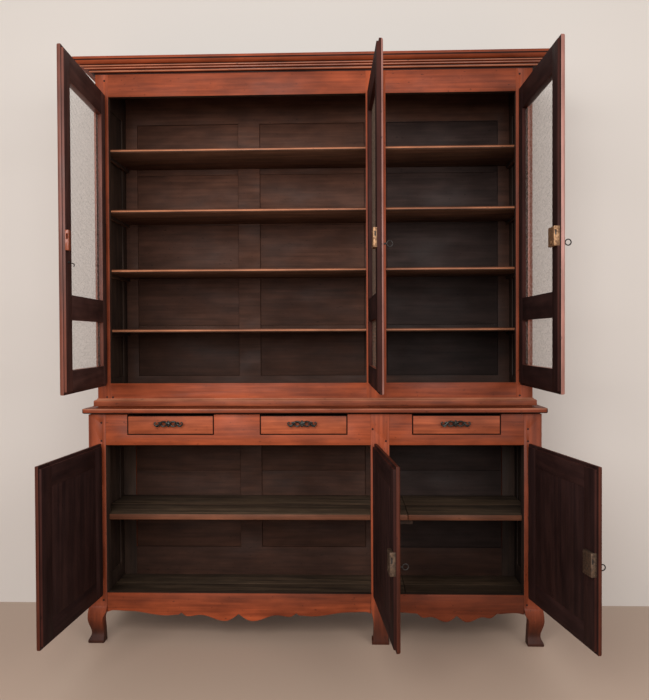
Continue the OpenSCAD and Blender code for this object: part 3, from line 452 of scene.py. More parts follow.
def softened(node, width, finish, others=(), grime=unsoiled_unshaded, gap=0.0):
    """Replaces a solid by a copy with its edges rounded over, in the wood given. A gap lifts
    its lowest edge, which leaves a dark joint under it."""
    solid = frame["nodes"][node]
    deselect()
    copy = bpy.data.objects.new(node + "_wood", solid.data.copy())
    scene.collection.objects.link(copy)
    bpy.context.view_layer.objects.active = copy
    copy.select_set(True)
    bpy.ops.object.mode_set(mode="EDIT")
    bpy.ops.mesh.select_all(action="SELECT")
    bpy.ops.mesh.remove_doubles(threshold=SAME_CORNER)
    bpy.ops.mesh.dissolve_limited(angle_limit=SAME_FLAT)
    bpy.ops.object.mode_set(mode="OBJECT")
    foot = min(vertex.co.z for vertex in copy.data.vertices)
    for vertex in copy.data.vertices:
        if vertex.co.z < foot + FOOT_BAND:
            vertex.co.z += gap
    round_edges(copy, width)
    lay_grain(copy, finish, others, grime)
    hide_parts(node)
    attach(copy, body_of(solid)[0])


def room(half, near, far, bottom, top):
    """A test for faces that look into a cupboard's room, given in metres from the front's middle."""
    low = (FRONT_X - half, FRONT_Y + near, bottom)
    high = (FRONT_X + half, FRONT_Y + far, top)

    def looks_in(face):
        just_ahead = face.center + face.normal * 0.004
        return all(low[i] < just_ahead[i] < high[i] for i in range(3))
    return looks_in


def upright_edge(face):
    """True for the rounded edge between a front and a side, which is painted near-black."""
    return face.normal.y < -0.2 and 0.3 < abs(face.normal.x) < 0.97 and abs(face.normal.z) < 0.2


FOOT_TOP = 0.15
FOOT_FADE = 0.13
FOOT_DIRT = 0.82


def near_floor(place):
    """Feet darken towards the floor."""
    return min(FOOT_DIRT, max(0.0, (FOOT_TOP - place.z) / FOOT_FADE))


cherry = wood_finish("waxed_cherry", (0.41, 0.081, 0.026), (0.18, 0.033, 0.011),
                     figure=0.15, gloss=0.42, dull=0.62, shine=0.2)
# near-black: dark age on the pegs, and painted shade under and around parts
grimy_cherry = wood_finish("grimy_cherry", (0.055, 0.012, 0.006), (0.018, 0.005, 0.003),
                           figure=0.3, gloss=0.5, dull=0.7, shine=0.2)
stained_pine = wood_finish("stained_pine", (0.085, 0.046, 0.030), (0.030, 0.017, 0.012),
                           figure=0.5, gloss=0.55, dull=0.8, shine=0.2)
low_room = room(half=0.887, near=0.003, far=0.413, bottom=0.149, top=0.911)
softened("lower_front_posts", 0.0022, cherry,
         [(stained_pine, low_room), (grimy_cherry, upright_edge)], near_floor)


# Frieze and apron rails: cherry boards tenoned and pegged into the posts. The frieze has the
# three drawer openings, and the apron is sawn to shape below. The right apron rail is darkened
# with painted shade, more than the left one.
def right_rail_shade(place):
    middle_post = FRONT_X + 0.22
    # painted shade: the right rail is darkened by nearly half
    return 0.45 if place.x > middle_post else 0.0


softened("frieze_rails", 0.0012, cherry, [(stained_pine, low_room)])
softened("apron_rails", 0.002, cherry, [(stained_pine, low_room)], right_rail_shade)

# Sides and rear posts of the low cupboard: each side is a frame of stiles and rails with panels
# let into its grooves, joined to the posts; stained dark inside.
for node in ("lower_sides", "lower_rear_posts"):
    softened(node, 0.0015, cherry, [(stained_pine, low_room)])


# Backs: broad softwood boards in a frame of stiles and rails, fixed between the rear posts below
# and to the sides above. Painted shade darkens them towards the bottom, and more in the right bay.
LOW_BACK_TOP = 0.95
LOW_BACK_SHADE = 0.5
HIGH_BACK_TOP = 2.15
HIGH_BACK_FADE = 1.1
HIGH_BACK_SHADE = 0.6


# painted shade on the backs, darker towards the bottom
def shade_on_back(place):
    if place.z < LOW_BACK_TOP:
        return LOW_BACK_SHADE
    return max(0.0, HIGH_BACK_SHADE * (HIGH_BACK_TOP - place.z) / HIGH_BACK_FADE)


def right_bay(face):
    return face.center.x > FRONT_X + 0.25


stained_back = wood_finish("stained_back", (0.16, 0.066, 0.040), (0.075, 0.032, 0.020),
                           figure=0.25, gloss=0.55, dull=0.8, shine=0.2)
# painted shade: a darker copy of the back's stain for the right bay
dark_back = wood_finish("dark_back", (0.100, 0.058, 0.048), (0.046, 0.027, 0.023),
                        figure=0.25, gloss=0.55, dull=0.8, shine=0.2)
for node in ("lower_back", "upper_back"):
    softened(node, 0.0015, stained_back, [(dark_back, right_bay)], shade_on_back)


# Floor and shelf of the low cupboard: softwood boards that lie loose on bearers, worn pale in
# patches by what stood on them. Their undersides have stayed bare, and painted light brightens them.
def facing_down(face):
    return face.normal.z < -0.7


def towards_front(face):
    return face.normal.y < -0.5


worn_pine = wood_finish("worn_pine", (0.17, 0.105, 0.062), (0.035, 0.022, 0.014),
                        figure=0.45, gloss=0.55, dull=0.8, shine=0.2)
# bare pine, painted lighter as painted light on undersides
pale_pine = wood_finish("pale_pine", (0.32, 0.15, 0.088), (0.12, 0.056, 0.034),
                        figure=0.5, gloss=0.55, dull=0.8, shine=0.2)
shelf_front = wood_finish("shelf_front", (0.24, 0.085, 0.042), (0.10, 0.034, 0.017),
                          figure=0.3, gloss=0.45, dull=0.65, shine=0.2)
softened("lower_floor_boards", 0.0012, worn_pine, [(pale_pine, facing_down)])
softened("lower_shelf_boards", 0.0022, worn_pine,
         [(pale_pine, facing_down), (shelf_front, towards_front)])

# Bearers, drawer runners, shelf cleats and the upper cupboard's floor and top: plain softwood,
# stained, nailed to the sides and the backs. Their bare undersides are brightened with painted light.
for node in ("bearers", "drawer_runners", "upper_floor_and_top", "shelf_cleats"):
    softened(node, 0.0012, stained_pine, [(pale_pine, facing_down)])


# Top plank: one cherry board with rounded front corners that lies on the low cupboard. Its upper
# edge carries a painted highlight, its ends are dark, and painted shade darkens its lower edge over
# the joint under it.
def upper_edge(face):
    """True for the rounded edge between a front and a top."""
    return 0.25 < face.normal.z < 0.97 and face.normal.y < -0.2


def lower_edge(face):
    return face.normal.z < -0.25


def at_an_end(face):
    return abs(face.normal.x) > 0.7


# painted highlight for rounded upper edges and fillets
worn_cherry = wood_finish("worn_cherry", (0.68, 0.25, 0.13), (0.34, 0.095, 0.042),
                          figure=0.3, gloss=0.32, dull=0.5, shine=0.35)
low_door_cherry = wood_finish("low_door_cherry", (0.105, 0.024, 0.011), (0.038, 0.008, 0.004),
                              figure=0.3, gloss=0.5, dull=0.65, shine=0.15)
softened("top_plank", 0.004, cherry,
         [(worn_cherry, upper_edge), (low_door_cherry, at_an_end), (grimy_cherry, lower_edge)],
         gap=0.005)

# Base moulding: a cherry strip planed to a profile and nailed round the foot of the upper
# cupboard, with a painted highlight on its upper edges and painted shade underneath.
drawer_cherry = wood_finish("drawer_cherry", (0.50, 0.115, 0.042), (0.22, 0.044, 0.016),
                            figure=0.12, gloss=0.42, dull=0.6, shine=0.2)
softened("base_moulding", 0.001, drawer_cherry,
         [(worn_cherry, upper_edge), (low_door_cherry, at_an_end), (grimy_cherry, facing_down)],
         gap=0.006)

# Front and sides of the upper cupboard: cherry stiles that stand on the plank, rails pegged
# between them, and framed sides with panels; stained dark inside.
high_room = room(half=0.862, near=0.046, far=0.401, bottom=0.990, top=2.305)
for node, width in (("upper_front_stiles", 0.0015), ("upper_front_rails", 0.0012),
                    ("upper_sides", 0.0015)):
    softened(node, width, cherry, [(stained_pine, high_room)])


# Upper shelves: four softwood boards that lie on cleats, stained above, bare underneath and
# brightened there with painted light, and with a painted highlight along their flat front edges.
def flat_front(face):
    return face.normal.y < -0.95


shelf_edge = wood_finish("shelf_edge", (0.82, 0.32, 0.155), (0.36, 0.125, 0.055),
                         figure=0.3, gloss=0.4, dull=0.6, shine=0.25)
softened("upper_shelves", 0.004, stained_pine,
         [(pale_pine, facing_down), (shelf_front, upper_edge), (shelf_edge, flat_front)])

# Pegs: round wooden pins, dark with age, driven through the tenons of the rails and hardly standing
# out from them.
softened("joint_pegs", 0.0006, grimy_cherry)

# Cornice: a run of mouldings planed on three cherry boards, mitred at the corners and nailed
# round the top. Dirt and painted shade darken its quirks and undersides, and painted highlights
# brighten its fillets.
MM = 0.001
TO_MM = 1000
CORNICE_OUT = 0.069
# looks: plain, dirt with painted shade, and painted highlight
BROWN, DIRT_AND_SHADE, HIGHLIGHT = 0, 1, 2
PROFILE = [  # mm out from the carcase and down from the top, and the look of the stretch after it
    (69, 0, BROWN), (69, 9.5, DIRT_AND_SHADE), (64, 9.5, DIRT_AND_SHADE), (64, 12.5, DIRT_AND_SHADE), (63, 12.5, BROWN),
    (62.0, 16.5, BROWN), (58.5, 20.5, BROWN), (54, 23.4, BROWN), (48, 25, DIRT_AND_SHADE), (45, 25, DIRT_AND_SHADE),
    (45, 27.5, BROWN), (46.5, 27.5, HIGHLIGHT), (46.5, 31, BROWN), (33, 32.5, HIGHLIGHT), (33, 36.5, BROWN),
    (21, 37.5, DIRT_AND_SHADE), (19, 37.5, DIRT_AND_SHADE), (19, 40, HIGHLIGHT), (18.6, 42.5, HIGHLIGHT), (16.6, 45, BROWN),
    (13, 46, DIRT_AND_SHADE), (2.5, 46.5, DIRT_AND_SHADE), (2.5, 50, DIRT_AND_SHADE), (0, 50, BROWN), (0, 0, BROWN)]


def sweep(name, rings):
    """A closed solid through rings of points in metres."""
    lift = Vector((0, 0, 0.5))
    deselect()
    bpy.ops.mesh.primitive_circle_add(vertices=len(rings[0]), radius=1, fill_type="NGON")
    piece = bpy.context.object
    piece.name = name
    for vertex, point in zip(piece.data.vertices, rings[0]):
        vertex.co = point
    bpy.ops.object.mode_set(mode="EDIT")
    bpy.ops.mesh.select_all(action="SELECT")
    for before, after in zip(rings, rings[1:]):
        bpy.ops.mesh.extrude_region_move(TRANSFORM_OT_translate={"value": lift})
        shape = bmesh.from_edit_mesh(piece.data)
        moved = [v for v in shape.verts if v.select]
        for old, new in zip(before, after):
            lifted = Vector(old) + lift
            nearest = min(moved, key=lambda v: (v.co - lifted).length)
            nearest.co = Vector(new)
            moved.remove(nearest)
        bmesh.update_edit_mesh(piece.data)
    bpy.ops.mesh.select_all(action="SELECT")
    bpy.ops.mesh.normals_make_consistent(inside=False)
    bpy.ops.object.mode_set(mode="OBJECT")
    return piece


low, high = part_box("cornice")
reach = high.x - FRONT_X - CORNICE_OUT
front = low.y + CORNICE_OUT
corners = [(-1, 0, high.y), (-1, 1, front), (1, 1, front), (1, 0, high.y)]
rings = [[(FRONT_X + side * (reach + out * MM), y - forward * out * MM, high.z - down * MM)
          for out, down, look in PROFILE] for side, forward, y in corners]


def looks(wanted):
    """A test for faces that lie nearest to a stretch of the profile with the look wanted."""
    def test(face):
        out = max(abs(face.center.x - FRONT_X) - reach, front - face.center.y) * TO_MM
        here = Vector((out, (high.z - face.center.z) * TO_MM))
        best = None
        for (out_0, down_0, look), (out_1, down_1, _) in zip(PROFILE, PROFILE[1:] + PROFILE[:1]):
            start = Vector((out_0, down_0))
            along = Vector((out_1 - out_0, down_1 - down_0))
            share = min(1, max(0, (here - start).dot(along) / along.length_squared))
            away = (start + along * share - here).length
            if best is None or away < best[0]:
                best = (away, look)
        return best[1] == wanted
    return test


moulding = sweep("cornice_wood", rings)
round_edges(moulding, 0.0006)
lay_grain(moulding, cherry, [(grimy_cherry, looks(DIRT_AND_SHADE)), (worn_cherry, looks(HIGHLIGHT))])
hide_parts("cornice")
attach(moulding, body_of(frame["nodes"]["cornice"])[0])

# Upper doors: two cherry stiles with a broad rebate behind, where the net lies, and three rails
# tenoned between them, dark with stain inside. Each leaf is made lying closed, from its hinge
# pins towards +x with its face towards -y, then swung to where it stands open. All in millimetres.
Leaf = namedtuple("Leaf", "hand across back bottom angle width inset tall")
UPPER = {"back": 36, "bottom": 1032, "tall": 1146}
LOWER = {"back": -7, "bottom": 200, "tall": 589}
DOORS = {
    "upper_left": Leaf(hand=1, across=-836.0, angle=87.2, width=534.0, inset=6, **UPPER),
    "upper_middle": Leaf(hand=-1, across=233.0, angle=92.0, width=534.0, inset=0, **UPPER),
    "upper_right": Leaf(hand=-1, across=822.5, angle=91.5, width=539.5, inset=10, **UPPER),
    "lower_left": Leaf(hand=1, across=-844.5, angle=93.4, width=545.0, inset=6, **LOWER),
    "lower_middle": Leaf(hand=-1, across=246.5, angle=95.6, width=545.0, inset=6, **LOWER),
    "lower_right": Leaf(hand=-1, across=844.5, angle=100.1, width=553.0, inset=10, **LOWER),
}
FACE = -7
LIP_BACK = 6.7
BODY_BACK = 15
LAP = 8
PIN_EDGE = 6.5
BODY_FROM_PIN = 22
BODY_CLEAR = 2
LIP_ROUND = 6
LIP_WIDTH = 7
PAST = 1  # how far a cut runs past the wood
NET_LEDGE = 22
UPPER_HINGE_STILE = 76.5
UPPER_FREE_STILE = 70
FOOT_RAIL_TOP = 73
MIDDLE_RAIL = (244, 329)
HEAD_RAIL_FOOT = 1054


def board(name, low, high):
    """A squared board between two corners given in millimetres."""
    deselect()
    bpy.ops.mesh.primitive_cube_add(size=1)
    piece = bpy.context.object
    piece.name = name
    for vertex in piece.data.vertices:
        vertex.co = [(low[i] if vertex.co[i] < 0 else high[i]) * MM for i in range(3)]
    return piece


def cut(piece, low, high):
    """Takes a squared block out of a piece."""
    waste = board("waste", low, high)
    saw = piece.modifiers.new("saw", "BOOLEAN")
    saw.operation = "DIFFERENCE"
    saw.object = waste
    deselect()
    bpy.context.view_layer.objects.active = piece
    piece.select_set(True)
    bpy.ops.object.modifier_apply(modifier=saw.name)
    bpy.data.objects.remove(waste)


def round_off(piece, lines, width):
    """Rounds the edges that lie on the lines given, each two pairs of an axis and a place."""
    deselect()
    bpy.context.view_layer.objects.active = piece
    bpy.ops.object.mode_set(mode="EDIT")
    bpy.ops.mesh.select_all(action="DESELECT")
    bpy.ops.mesh.select_mode(type="EDGE")
    shape = bmesh.from_edit_mesh(piece.data)
    for edge in shape.edges:
        for line in lines:
            if all(abs(v.co[axis] / MM - place) < 0.05 for v in edge.verts for axis, place in line):
                edge.select_set(True)
    bmesh.update_edit_mesh(piece.data)
    bpy.ops.mesh.bevel(offset=width * MM, segments=4)
    bpy.ops.object.mode_set(mode="OBJECT")


def joined(name, parts):
    deselect()
    for part in parts:
        part.select_set(True)
    bpy.context.view_layer.objects.active = parts[0]
    bpy.ops.object.join()
    parts[0].name = name
    parts[0].data.name = name
    return parts[0]


def swing(piece, door):
    """Carries a piece of a closed leaf to where its door stands open."""
    leaf = DOORS[door]
    pins = Vector((leaf.across, leaf.back, leaf.bottom)) * MM + Vector((FRONT_X, FRONT_Y, 0))
    flip = Matrix.Diagonal((leaf.hand, 1, 1, 1))
    turn = Matrix.Rotation(math.radians(-leaf.angle), 4, "Z")
    piece.data.transform(Matrix.Translation(pins) @ flip @ turn)
    if leaf.hand < 0:
        piece.data.flip_normals()


def member(leaf, low, high):
    """A stile or rail with the rebate behind the lip and the lip's rounded outer edge."""
    piece = board("member", low, high)
    free = leaf.width - leaf.inset
    behind = BODY_BACK + PAST
    if low[0] < BODY_FROM_PIN:
        cut(piece, (0, LIP_BACK, low[2] - PAST), (BODY_FROM_PIN, behind, high[2] + PAST))
    if leaf.inset and high[0] > free:
        cut(piece, (free, LIP_BACK, low[2] - PAST), (leaf.width + PAST, behind, high[2] + PAST))
    if low[2] < BODY_CLEAR:
        cut(piece, (0, LIP_BACK, -LAP - PAST), (leaf.width + PAST, behind, BODY_CLEAR))
    if high[2] > leaf.tall - BODY_CLEAR:
        cut(piece, (0, LIP_BACK, leaf.tall - BODY_CLEAR),
            (leaf.width + PAST, behind, leaf.tall + LAP + PAST))
    outer = ((0, PIN_EDGE), (0, leaf.width), (2, -LAP), (2, leaf.tall + LAP))
    round_off(piece, [((1, FACE), plane) for plane in outer], LIP_ROUND)
    return piece


def hung_leaf(piece, door, node, finish, lip, rebate, inside):
    """Paints a closed leaf by its sides, swings it open and enters it for its solid."""
    round_edges(piece, 0.0007)
    edge = (DOORS[door].width - LIP_WIDTH) * MM
    # the lip's finish goes on as a painted highlight, the rebate's as painted shade behind the lip and
    # under the members
    lay_grain(piece, finish, [
        (cherry, lambda face: face.normal.y < -0.9),
        (lip, lambda face: face.center.x > edge and face.normal.x > 0.2),
        (rebate, lambda face: face.center.y > LIP_BACK * MM or face.normal.z < -0.7),
        (inside, lambda face: face.normal.y > 0.7)])
    swing(piece, door)
    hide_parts(node)
    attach(piece, door + "_door")


door_cherry = wood_finish("door_cherry", (0.36, 0.098, 0.048), (0.14, 0.037, 0.019),
                          figure=0.2, gloss=0.28, dull=0.42, shine=0.45)
# painted highlight on the rounded lip
door_lip = wood_finish("door_lip", (0.44, 0.20, 0.16), (0.24, 0.095, 0.07),
                       figure=0.2, gloss=0.3, dull=0.45, shine=0.5)
# painted shade in the rebate behind the lip
door_rebate = wood_finish("door_rebate", (0.062, 0.016, 0.011), (0.022, 0.007, 0.005),
                          figure=0.35, gloss=0.5, dull=0.7, shine=0.1)
door_inside = wood_finish("door_inside", (0.043, 0.019, 0.016), (0.016, 0.008, 0.008),
                          figure=0.45, gloss=0.55, dull=0.75, shine=0.06)
red_lip = wood_finish("red_lip", (0.21, 0.058, 0.032), (0.095, 0.025, 0.014),
                      figure=0.2, gloss=0.35, dull=0.5, shine=0.35)
red_inside = wood_finish("red_inside", (0.105, 0.047, 0.038), (0.045, 0.020, 0.017),
                         figure=0.4, gloss=0.5, dull=0.7, shine=0.06)
# the middle and right doors get a painted highlight on the lip and painted shade in the rebate
EDGE_FINISHES = {  # lip, rebate and inside
    "upper_left": (red_lip, red_lip, red_inside),
    "upper_middle": (door_lip, door_rebate, door_inside),
    "upper_right": (door_lip, door_rebate, door_inside),
}
for door, edge_finishes in EDGE_FINISHES.items():
    leaf = DOORS[door]
    inner = UPPER_HINGE_STILE
    outer = leaf.width - UPPER_FREE_STILE
    foot, head = -LAP, leaf.tall + LAP
    behind = BODY_BACK + PAST
    parts = [member(leaf, (PIN_EDGE, FACE, foot), (inner + NET_LEDGE, BODY_BACK, head)),
             member(leaf, (outer - NET_LEDGE, FACE, foot), (leaf.width, BODY_BACK, head))]
    cut(parts[0], (inner, 0, foot - PAST), (inner + NET_LEDGE + PAST, behind, head + PAST))
    cut(parts[1], (outer - NET_LEDGE - PAST, 0, foot - PAST), (outer, behind, head + PAST))
    for low, high in ((foot, FOOT_RAIL_TOP), MIDDLE_RAIL, (HEAD_RAIL_FOOT, head)):
        rail = member(leaf, (inner, FACE, low), (outer, BODY_BACK, high))
        cut(rail, (inner - PAST, FACE - PAST, low - PAST), (inner + NET_LEDGE, 0, high + PAST))
        cut(rail, (outer - NET_LEDGE, FACE - PAST, low - PAST), (outer + PAST, 0, high + PAST))
        parts.append(rail)
    frame_wood = joined(door + "_door_frame_wood", parts)
    hung_leaf(frame_wood, door, door + "_door_frame", door_cherry, *edge_finishes)

# Panelled lower doors: a cherry frame of four members and a panel, raised and bevelled on the
# face and flat inside, that floats in the grooves of the frame.
LOWER_HINGE_STILE = 86.5
LOWER_FREE_STILE = 80
LOWER_RAIL = 72
PANEL_FACE = 5
PANEL_PLAY = 0.4
BEVEL_WIDTH = 35
BEVEL_RISE = 4.5
STEP_WIDTH = 1
STEP_RISE = 3.5
for door in ("lower_left", "lower_middle", "lower_right"):
    leaf = DOORS[door]
    inner = LOWER_HINGE_STILE
    outer = leaf.width - LOWER_FREE_STILE
    foot, head = -LAP, leaf.tall + LAP
    low_edge, high_edge = LOWER_RAIL, leaf.tall - LOWER_RAIL
    parts = [member(leaf, (PIN_EDGE, FACE, foot), (inner, BODY_BACK, head)),
             member(leaf, (outer, FACE, foot), (leaf.width, BODY_BACK, head)),
             member(leaf, (inner, FACE, foot), (outer, BODY_BACK, low_edge)),
             member(leaf, (inner, FACE, high_edge), (outer, BODY_BACK, head))]
    panel = board("panel", (inner + PANEL_PLAY, PANEL_FACE, low_edge + PANEL_PLAY),
                  (outer - PANEL_PLAY, BODY_BACK, high_edge - PANEL_PLAY))
    bpy.ops.object.mode_set(mode="EDIT")
    bpy.ops.mesh.select_all(action="DESELECT")
    shape = bmesh.from_edit_mesh(panel.data)
    for face in shape.faces:
        face.select_set(face.normal.y < -0.9)
    bmesh.update_edit_mesh(panel.data)
    bpy.ops.mesh.inset(thickness=BEVEL_WIDTH * MM, depth=BEVEL_RISE * MM)
    bpy.ops.mesh.inset(thickness=STEP_WIDTH * MM, depth=STEP_RISE * MM)
    bpy.ops.object.mode_set(mode="OBJECT")
    leaf_wood = joined(door + "_door_wood", parts + [panel])
    hung_leaf(leaf_wood, door, door + "_door", low_door_cherry,
              lip=low_door_cherry, rebate=door_rebate, inside=door_inside)


# Hinges, hook and bolts: forged iron, black with age. The hinge halves are let into posts and
# doors, the hook turns on a screw, and the bolts slide in their locks. Their solids stay.
def metal_finish(name, colour, stain, metallic, roughness):
    """A metal whose colour and sheen change in soft patches."""
    finish = plain_finish(name, colour, roughness)
    nodes = finish.node_tree.nodes
    link = finish.node_tree.links.new
    shader = nodes["Principled BSDF"]
    shader.inputs["Metallic"].default_value = metallic
    place = nodes.new("ShaderNodeTexCoord")
    cloud = nodes.new("ShaderNodeTexNoise")
    cloud.inputs["Scale"].default_value = 140
    cloud.inputs["Detail"].default_value = 4
    link(place.outputs["Object"], cloud.inputs["Vector"])
    spread = nodes.new("ShaderNodeMapRange")
    spread.inputs["From Min"].default_value = 0.38
    spread.inputs["From Max"].default_value = 0.62
    link(cloud.outputs["Fac"], spread.inputs["Value"])
    tone = nodes.new("ShaderNodeMix")
    tone.data_type = "RGBA"
    tone.inputs["A"].default_value = (*colour, 1)
    tone.inputs["B"].default_value = (*stain, 1)
    link(spread.outputs["Result"], tone.inputs["Factor"])
    link(tone.outputs["Result"], shader.inputs["Base Color"])
    sheen = nodes.new("ShaderNodeMapRange")
    sheen.inputs["To Min"].default_value = roughness
    sheen.inputs["To Max"].default_value = roughness + 0.25
    link(spread.outputs["Result"], sheen.inputs["Value"])
    link(sheen.outputs["Result"], shader.inputs["Roughness"])
    return finish


iron = metal_finish("dark_iron", (0.036, 0.031, 0.028), (0.015, 0.011, 0.009),
                    metallic=0.5, roughness=0.42)
for node, solid in frame["nodes"].items():
    if node.endswith(("_hinges", "_hook", "_bolt")):
        solid.data.materials.clear()
        solid.data.materials.append(iron)

# Locks: a box of sheet brass screwed inside the stile, its edge plate let into the door's edge,
# with four screws, a ring round the keyhole, and two screws and the bolt's slot in the plate.
Lock = namedtuple("Lock", "wide tall middle")
LOCKS = {"upper_middle": Lock(66, 64, 508), "upper_right": Lock(66, 64, 508),
         "lower_middle": Lock(56, 78, 280), "lower_right": Lock(56, 78, 280)}
LOCK_DEEP = 12
CASE_SHORTER = 0.6
SUNK = 0.5  # how far rings and studs are let in
PLATE_THICK = 1
PLATE_FROM_LIP = 0.6
PLATE_PROUD = 0.2
PLATE_PAST_CASE = 0.3
BOLT_SLOT_DEEP = (3.4, 8.6)
BOLT_SLOT_HIGH = (3, 21)
KEY_INSET = 32
KEY_DROP = 18
RING_RADIUS = 7
RING_PROUD = 1.2
KEYHOLE_HALF = 1.8
KEYHOLE_DOWN = 5
KEYHOLE_UP = 4
SCREW_RADIUS = 3.4
SCREW_HEAD = 1.0
SCREW_SUNK = 0.2
SCREW_SLOT_HALF = 0.45
SCREW_SLOT_FLOOR = 0.4
CASE_SCREW_IN = 7
EDGE_SCREW_IN = 10
PLATE_SCREW_IN = 5.5
PLATE_SCREW_BACK = 1.5


def turned(name, radius, low, high, x, z, sides=20):
    """A round piece whose axis runs from the face to the back, placed in millimetres."""
    deselect()
    bpy.ops.mesh.primitive_cylinder_add(vertices=sides, radius=radius * MM, depth=(high - low) * MM,
                                        rotation=(math.radians(90), 0, 0))
    piece = bpy.context.object
    piece.name = name
    bpy.ops.object.transform_apply(location=False, rotation=True, scale=False)
    piece.data.transform(Matrix.Translation(Vector((x, (low + high) / 2, z)) * MM))
    return piece


def set_screw(x, y, z, turn, outwards=True):
    """A copy of the screw, its slot turned, in the case or, not outwards, in the edge plate."""
    copy = bpy.data.objects.new("screw_copy", screw.data.copy())
    scene.collection.objects.link(copy)
    aim = Matrix.Rotation(math.radians(turn), 4, "Y")
    if not outwards:
        aim = Matrix.Rotation(math.radians(-90), 4, "Z") @ aim
    copy.data.transform(Matrix.Translation(Vector((x, y, z)) * MM) @ aim)
    return copy


def finished(piece, finish, node, body, width):
    round_edges(piece, width)
    piece.data.materials.clear()
    piece.data.materials.append(finish)
    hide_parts(node)
    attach(piece, body)


def free_edge(leaf):
    """Where the leaf's body ends, with the edge plate let into it."""
    return leaf.width - max(leaf.inset, 2)


brass = metal_finish("yellow_brass", (0.36, 0.20, 0.10), (0.18, 0.095, 0.05),
                     metallic=0.6, roughness=0.48)
bronze = metal_finish("dull_brass", (0.125, 0.078, 0.048), (0.06, 0.036, 0.025),
                      metallic=0.6, roughness=0.45)
screw = turned("screw", SCREW_RADIUS, 0, SCREW_HEAD, 0, 0, 16)
cut(screw, (-SCREW_RADIUS - PAST, SCREW_SLOT_FLOOR, -SCREW_SLOT_HALF),
    (SCREW_RADIUS + PAST, SCREW_HEAD + PAST, SCREW_SLOT_HALF))
for door, (wide, tall, middle) in LOCKS.items():
    edge = free_edge(DOORS[door])
    low, high = middle - tall / 2, middle + tall / 2
    back = BODY_BACK + LOCK_DEEP
    key_x, key_z = edge - KEY_INSET, middle - KEY_DROP
    inner = edge - PLATE_THICK
    case = board("case", (edge - wide, BODY_BACK, low + CASE_SHORTER),
                 (inner, back, high - CASE_SHORTER))
    plate = board("plate", (inner, LIP_BACK + PLATE_FROM_LIP, low),
                  (edge + PLATE_PROUD, back + PLATE_PAST_CASE, high))
    cut(plate, (inner - PAST, BODY_BACK + BOLT_SLOT_DEEP[0], middle + BOLT_SLOT_HIGH[0]),
        (edge + PAST, BODY_BACK + BOLT_SLOT_DEEP[1], middle + BOLT_SLOT_HIGH[1]))
    ring = turned("ring", RING_RADIUS, back - SUNK, back + RING_PROUD, key_x, key_z, 24)
    cut(ring, (key_x - KEYHOLE_HALF, back, key_z - KEYHOLE_DOWN),
        (key_x + KEYHOLE_HALF, back + RING_PROUD + PAST, key_z + KEYHOLE_UP))
    parts = [case, plate, ring]
    screws = [(x, z) for x in (edge - wide + CASE_SCREW_IN, edge - EDGE_SCREW_IN)
              for z in (low + CASE_SCREW_IN, high - CASE_SCREW_IN)]
    for n, (x, z) in enumerate(screws):
        parts.append(set_screw(x, back - SCREW_SUNK, z, 25 + 50 * n))
    for n, z in enumerate((low + PLATE_SCREW_IN, high - PLATE_SCREW_IN)):
        parts.append(set_screw(edge, BODY_BACK + PLATE_SCREW_BACK, z, 20 + 70 * n, outwards=False))
    lock = joined(door + "_lock_case", parts)
    swing(lock, door)
    metal = brass if door.startswith("upper") else bronze
    finished(lock, metal, door + "_lock", door + "_door", 0.0004)
bpy.data.objects.remove(screw)

# Keys: forged iron with a ring bow, a stem with two turned collars and a bit that enters the
# lock. They stay in their locks and turn with the bolts.
BOW_RADIUS = 9.7
BOW_WIRE = 2.1
BOW_OUT = 22
STEM_RADIUS = 2.7
STEM_OUT = 12
STEM_IN = 9
COLLARS = ((4.6, 4, 1), (4.0, 11, 8.6))  # radius, and from where to where before the face
BIT_HALF = 1.5
BIT_DEEP = (3, 7)
BIT_DROP = (9, 2)
for door, lock in LOCKS.items():
    x = free_edge(DOORS[door]) - KEY_INSET
    z = lock.middle - KEY_DROP
    deselect()
    bpy.ops.mesh.primitive_torus_add(major_segments=36, minor_segments=10, major_radius=BOW_RADIUS * MM,
                                     minor_radius=BOW_WIRE * MM, rotation=(0, math.radians(90), 0))
    bow = bpy.context.object
    bpy.ops.object.transform_apply(location=False, rotation=True, scale=False)
    bow.data.transform(Matrix.Translation(Vector((x, FACE - BOW_OUT, z)) * MM))
    parts = [bow, turned("stem", STEM_RADIUS, FACE - STEM_OUT, BODY_BACK + STEM_IN, x, z, 16)]
    for radius, far, near in COLLARS:
        parts.append(turned("collar", radius, FACE - far, FACE - near, x, z))
    parts.append(board("bit", (x - BIT_HALF, BODY_BACK + BIT_DEEP[0], z - BIT_DROP[0]),
                       (x + BIT_HALF, BODY_BACK + BIT_DEEP[1], z - BIT_DROP[1])))
    key = joined(door + "_key_iron", parts)
    swing(key, door)
    finished(key, iron, door + "_key", door + "_key", 0.0004)

# Pulls: cast scrolls of foliage, blackened, each bolted to its drawer by two studs with small
# roses, with a group of round leaves in the middle.
PULL_FACE = -15.5
STUD_OUT = 35
STUD_RADIUS = 3
ROSE_RADIUS = 6.5
ROSE_THICK = 2
LEAF_IN = 0.3
SWELL = 1.15
SCROLLS = (  # points out and up from the middle, and the radius of the bar at each, for one half
    (((5, 2), 3.4), ((14, 9), 3.4), ((25, 9), 3.0), ((33, 1), 3.2), ((43, -9), 3.2), ((54, -7), 2.8),
     ((57, 2), 2.4), ((52, 7), 2.2), ((48.5, 3.5), 2.0), ((50, 1), 1.6)),
    (((6, -3), 3.0), ((13, -10), 3.0), ((24, -11), 2.8), ((31, -5), 2.4), ((28, 0), 2.0),
     ((23, -2), 1.7), ((24, -5), 1.4)),
    (((31, 3), 2.4), ((38, 6), 2.0), ((44, 3), 1.0)),
    (((36, -7), 2.2), ((43, -13), 1.8), ((50, -12), 0.9)))
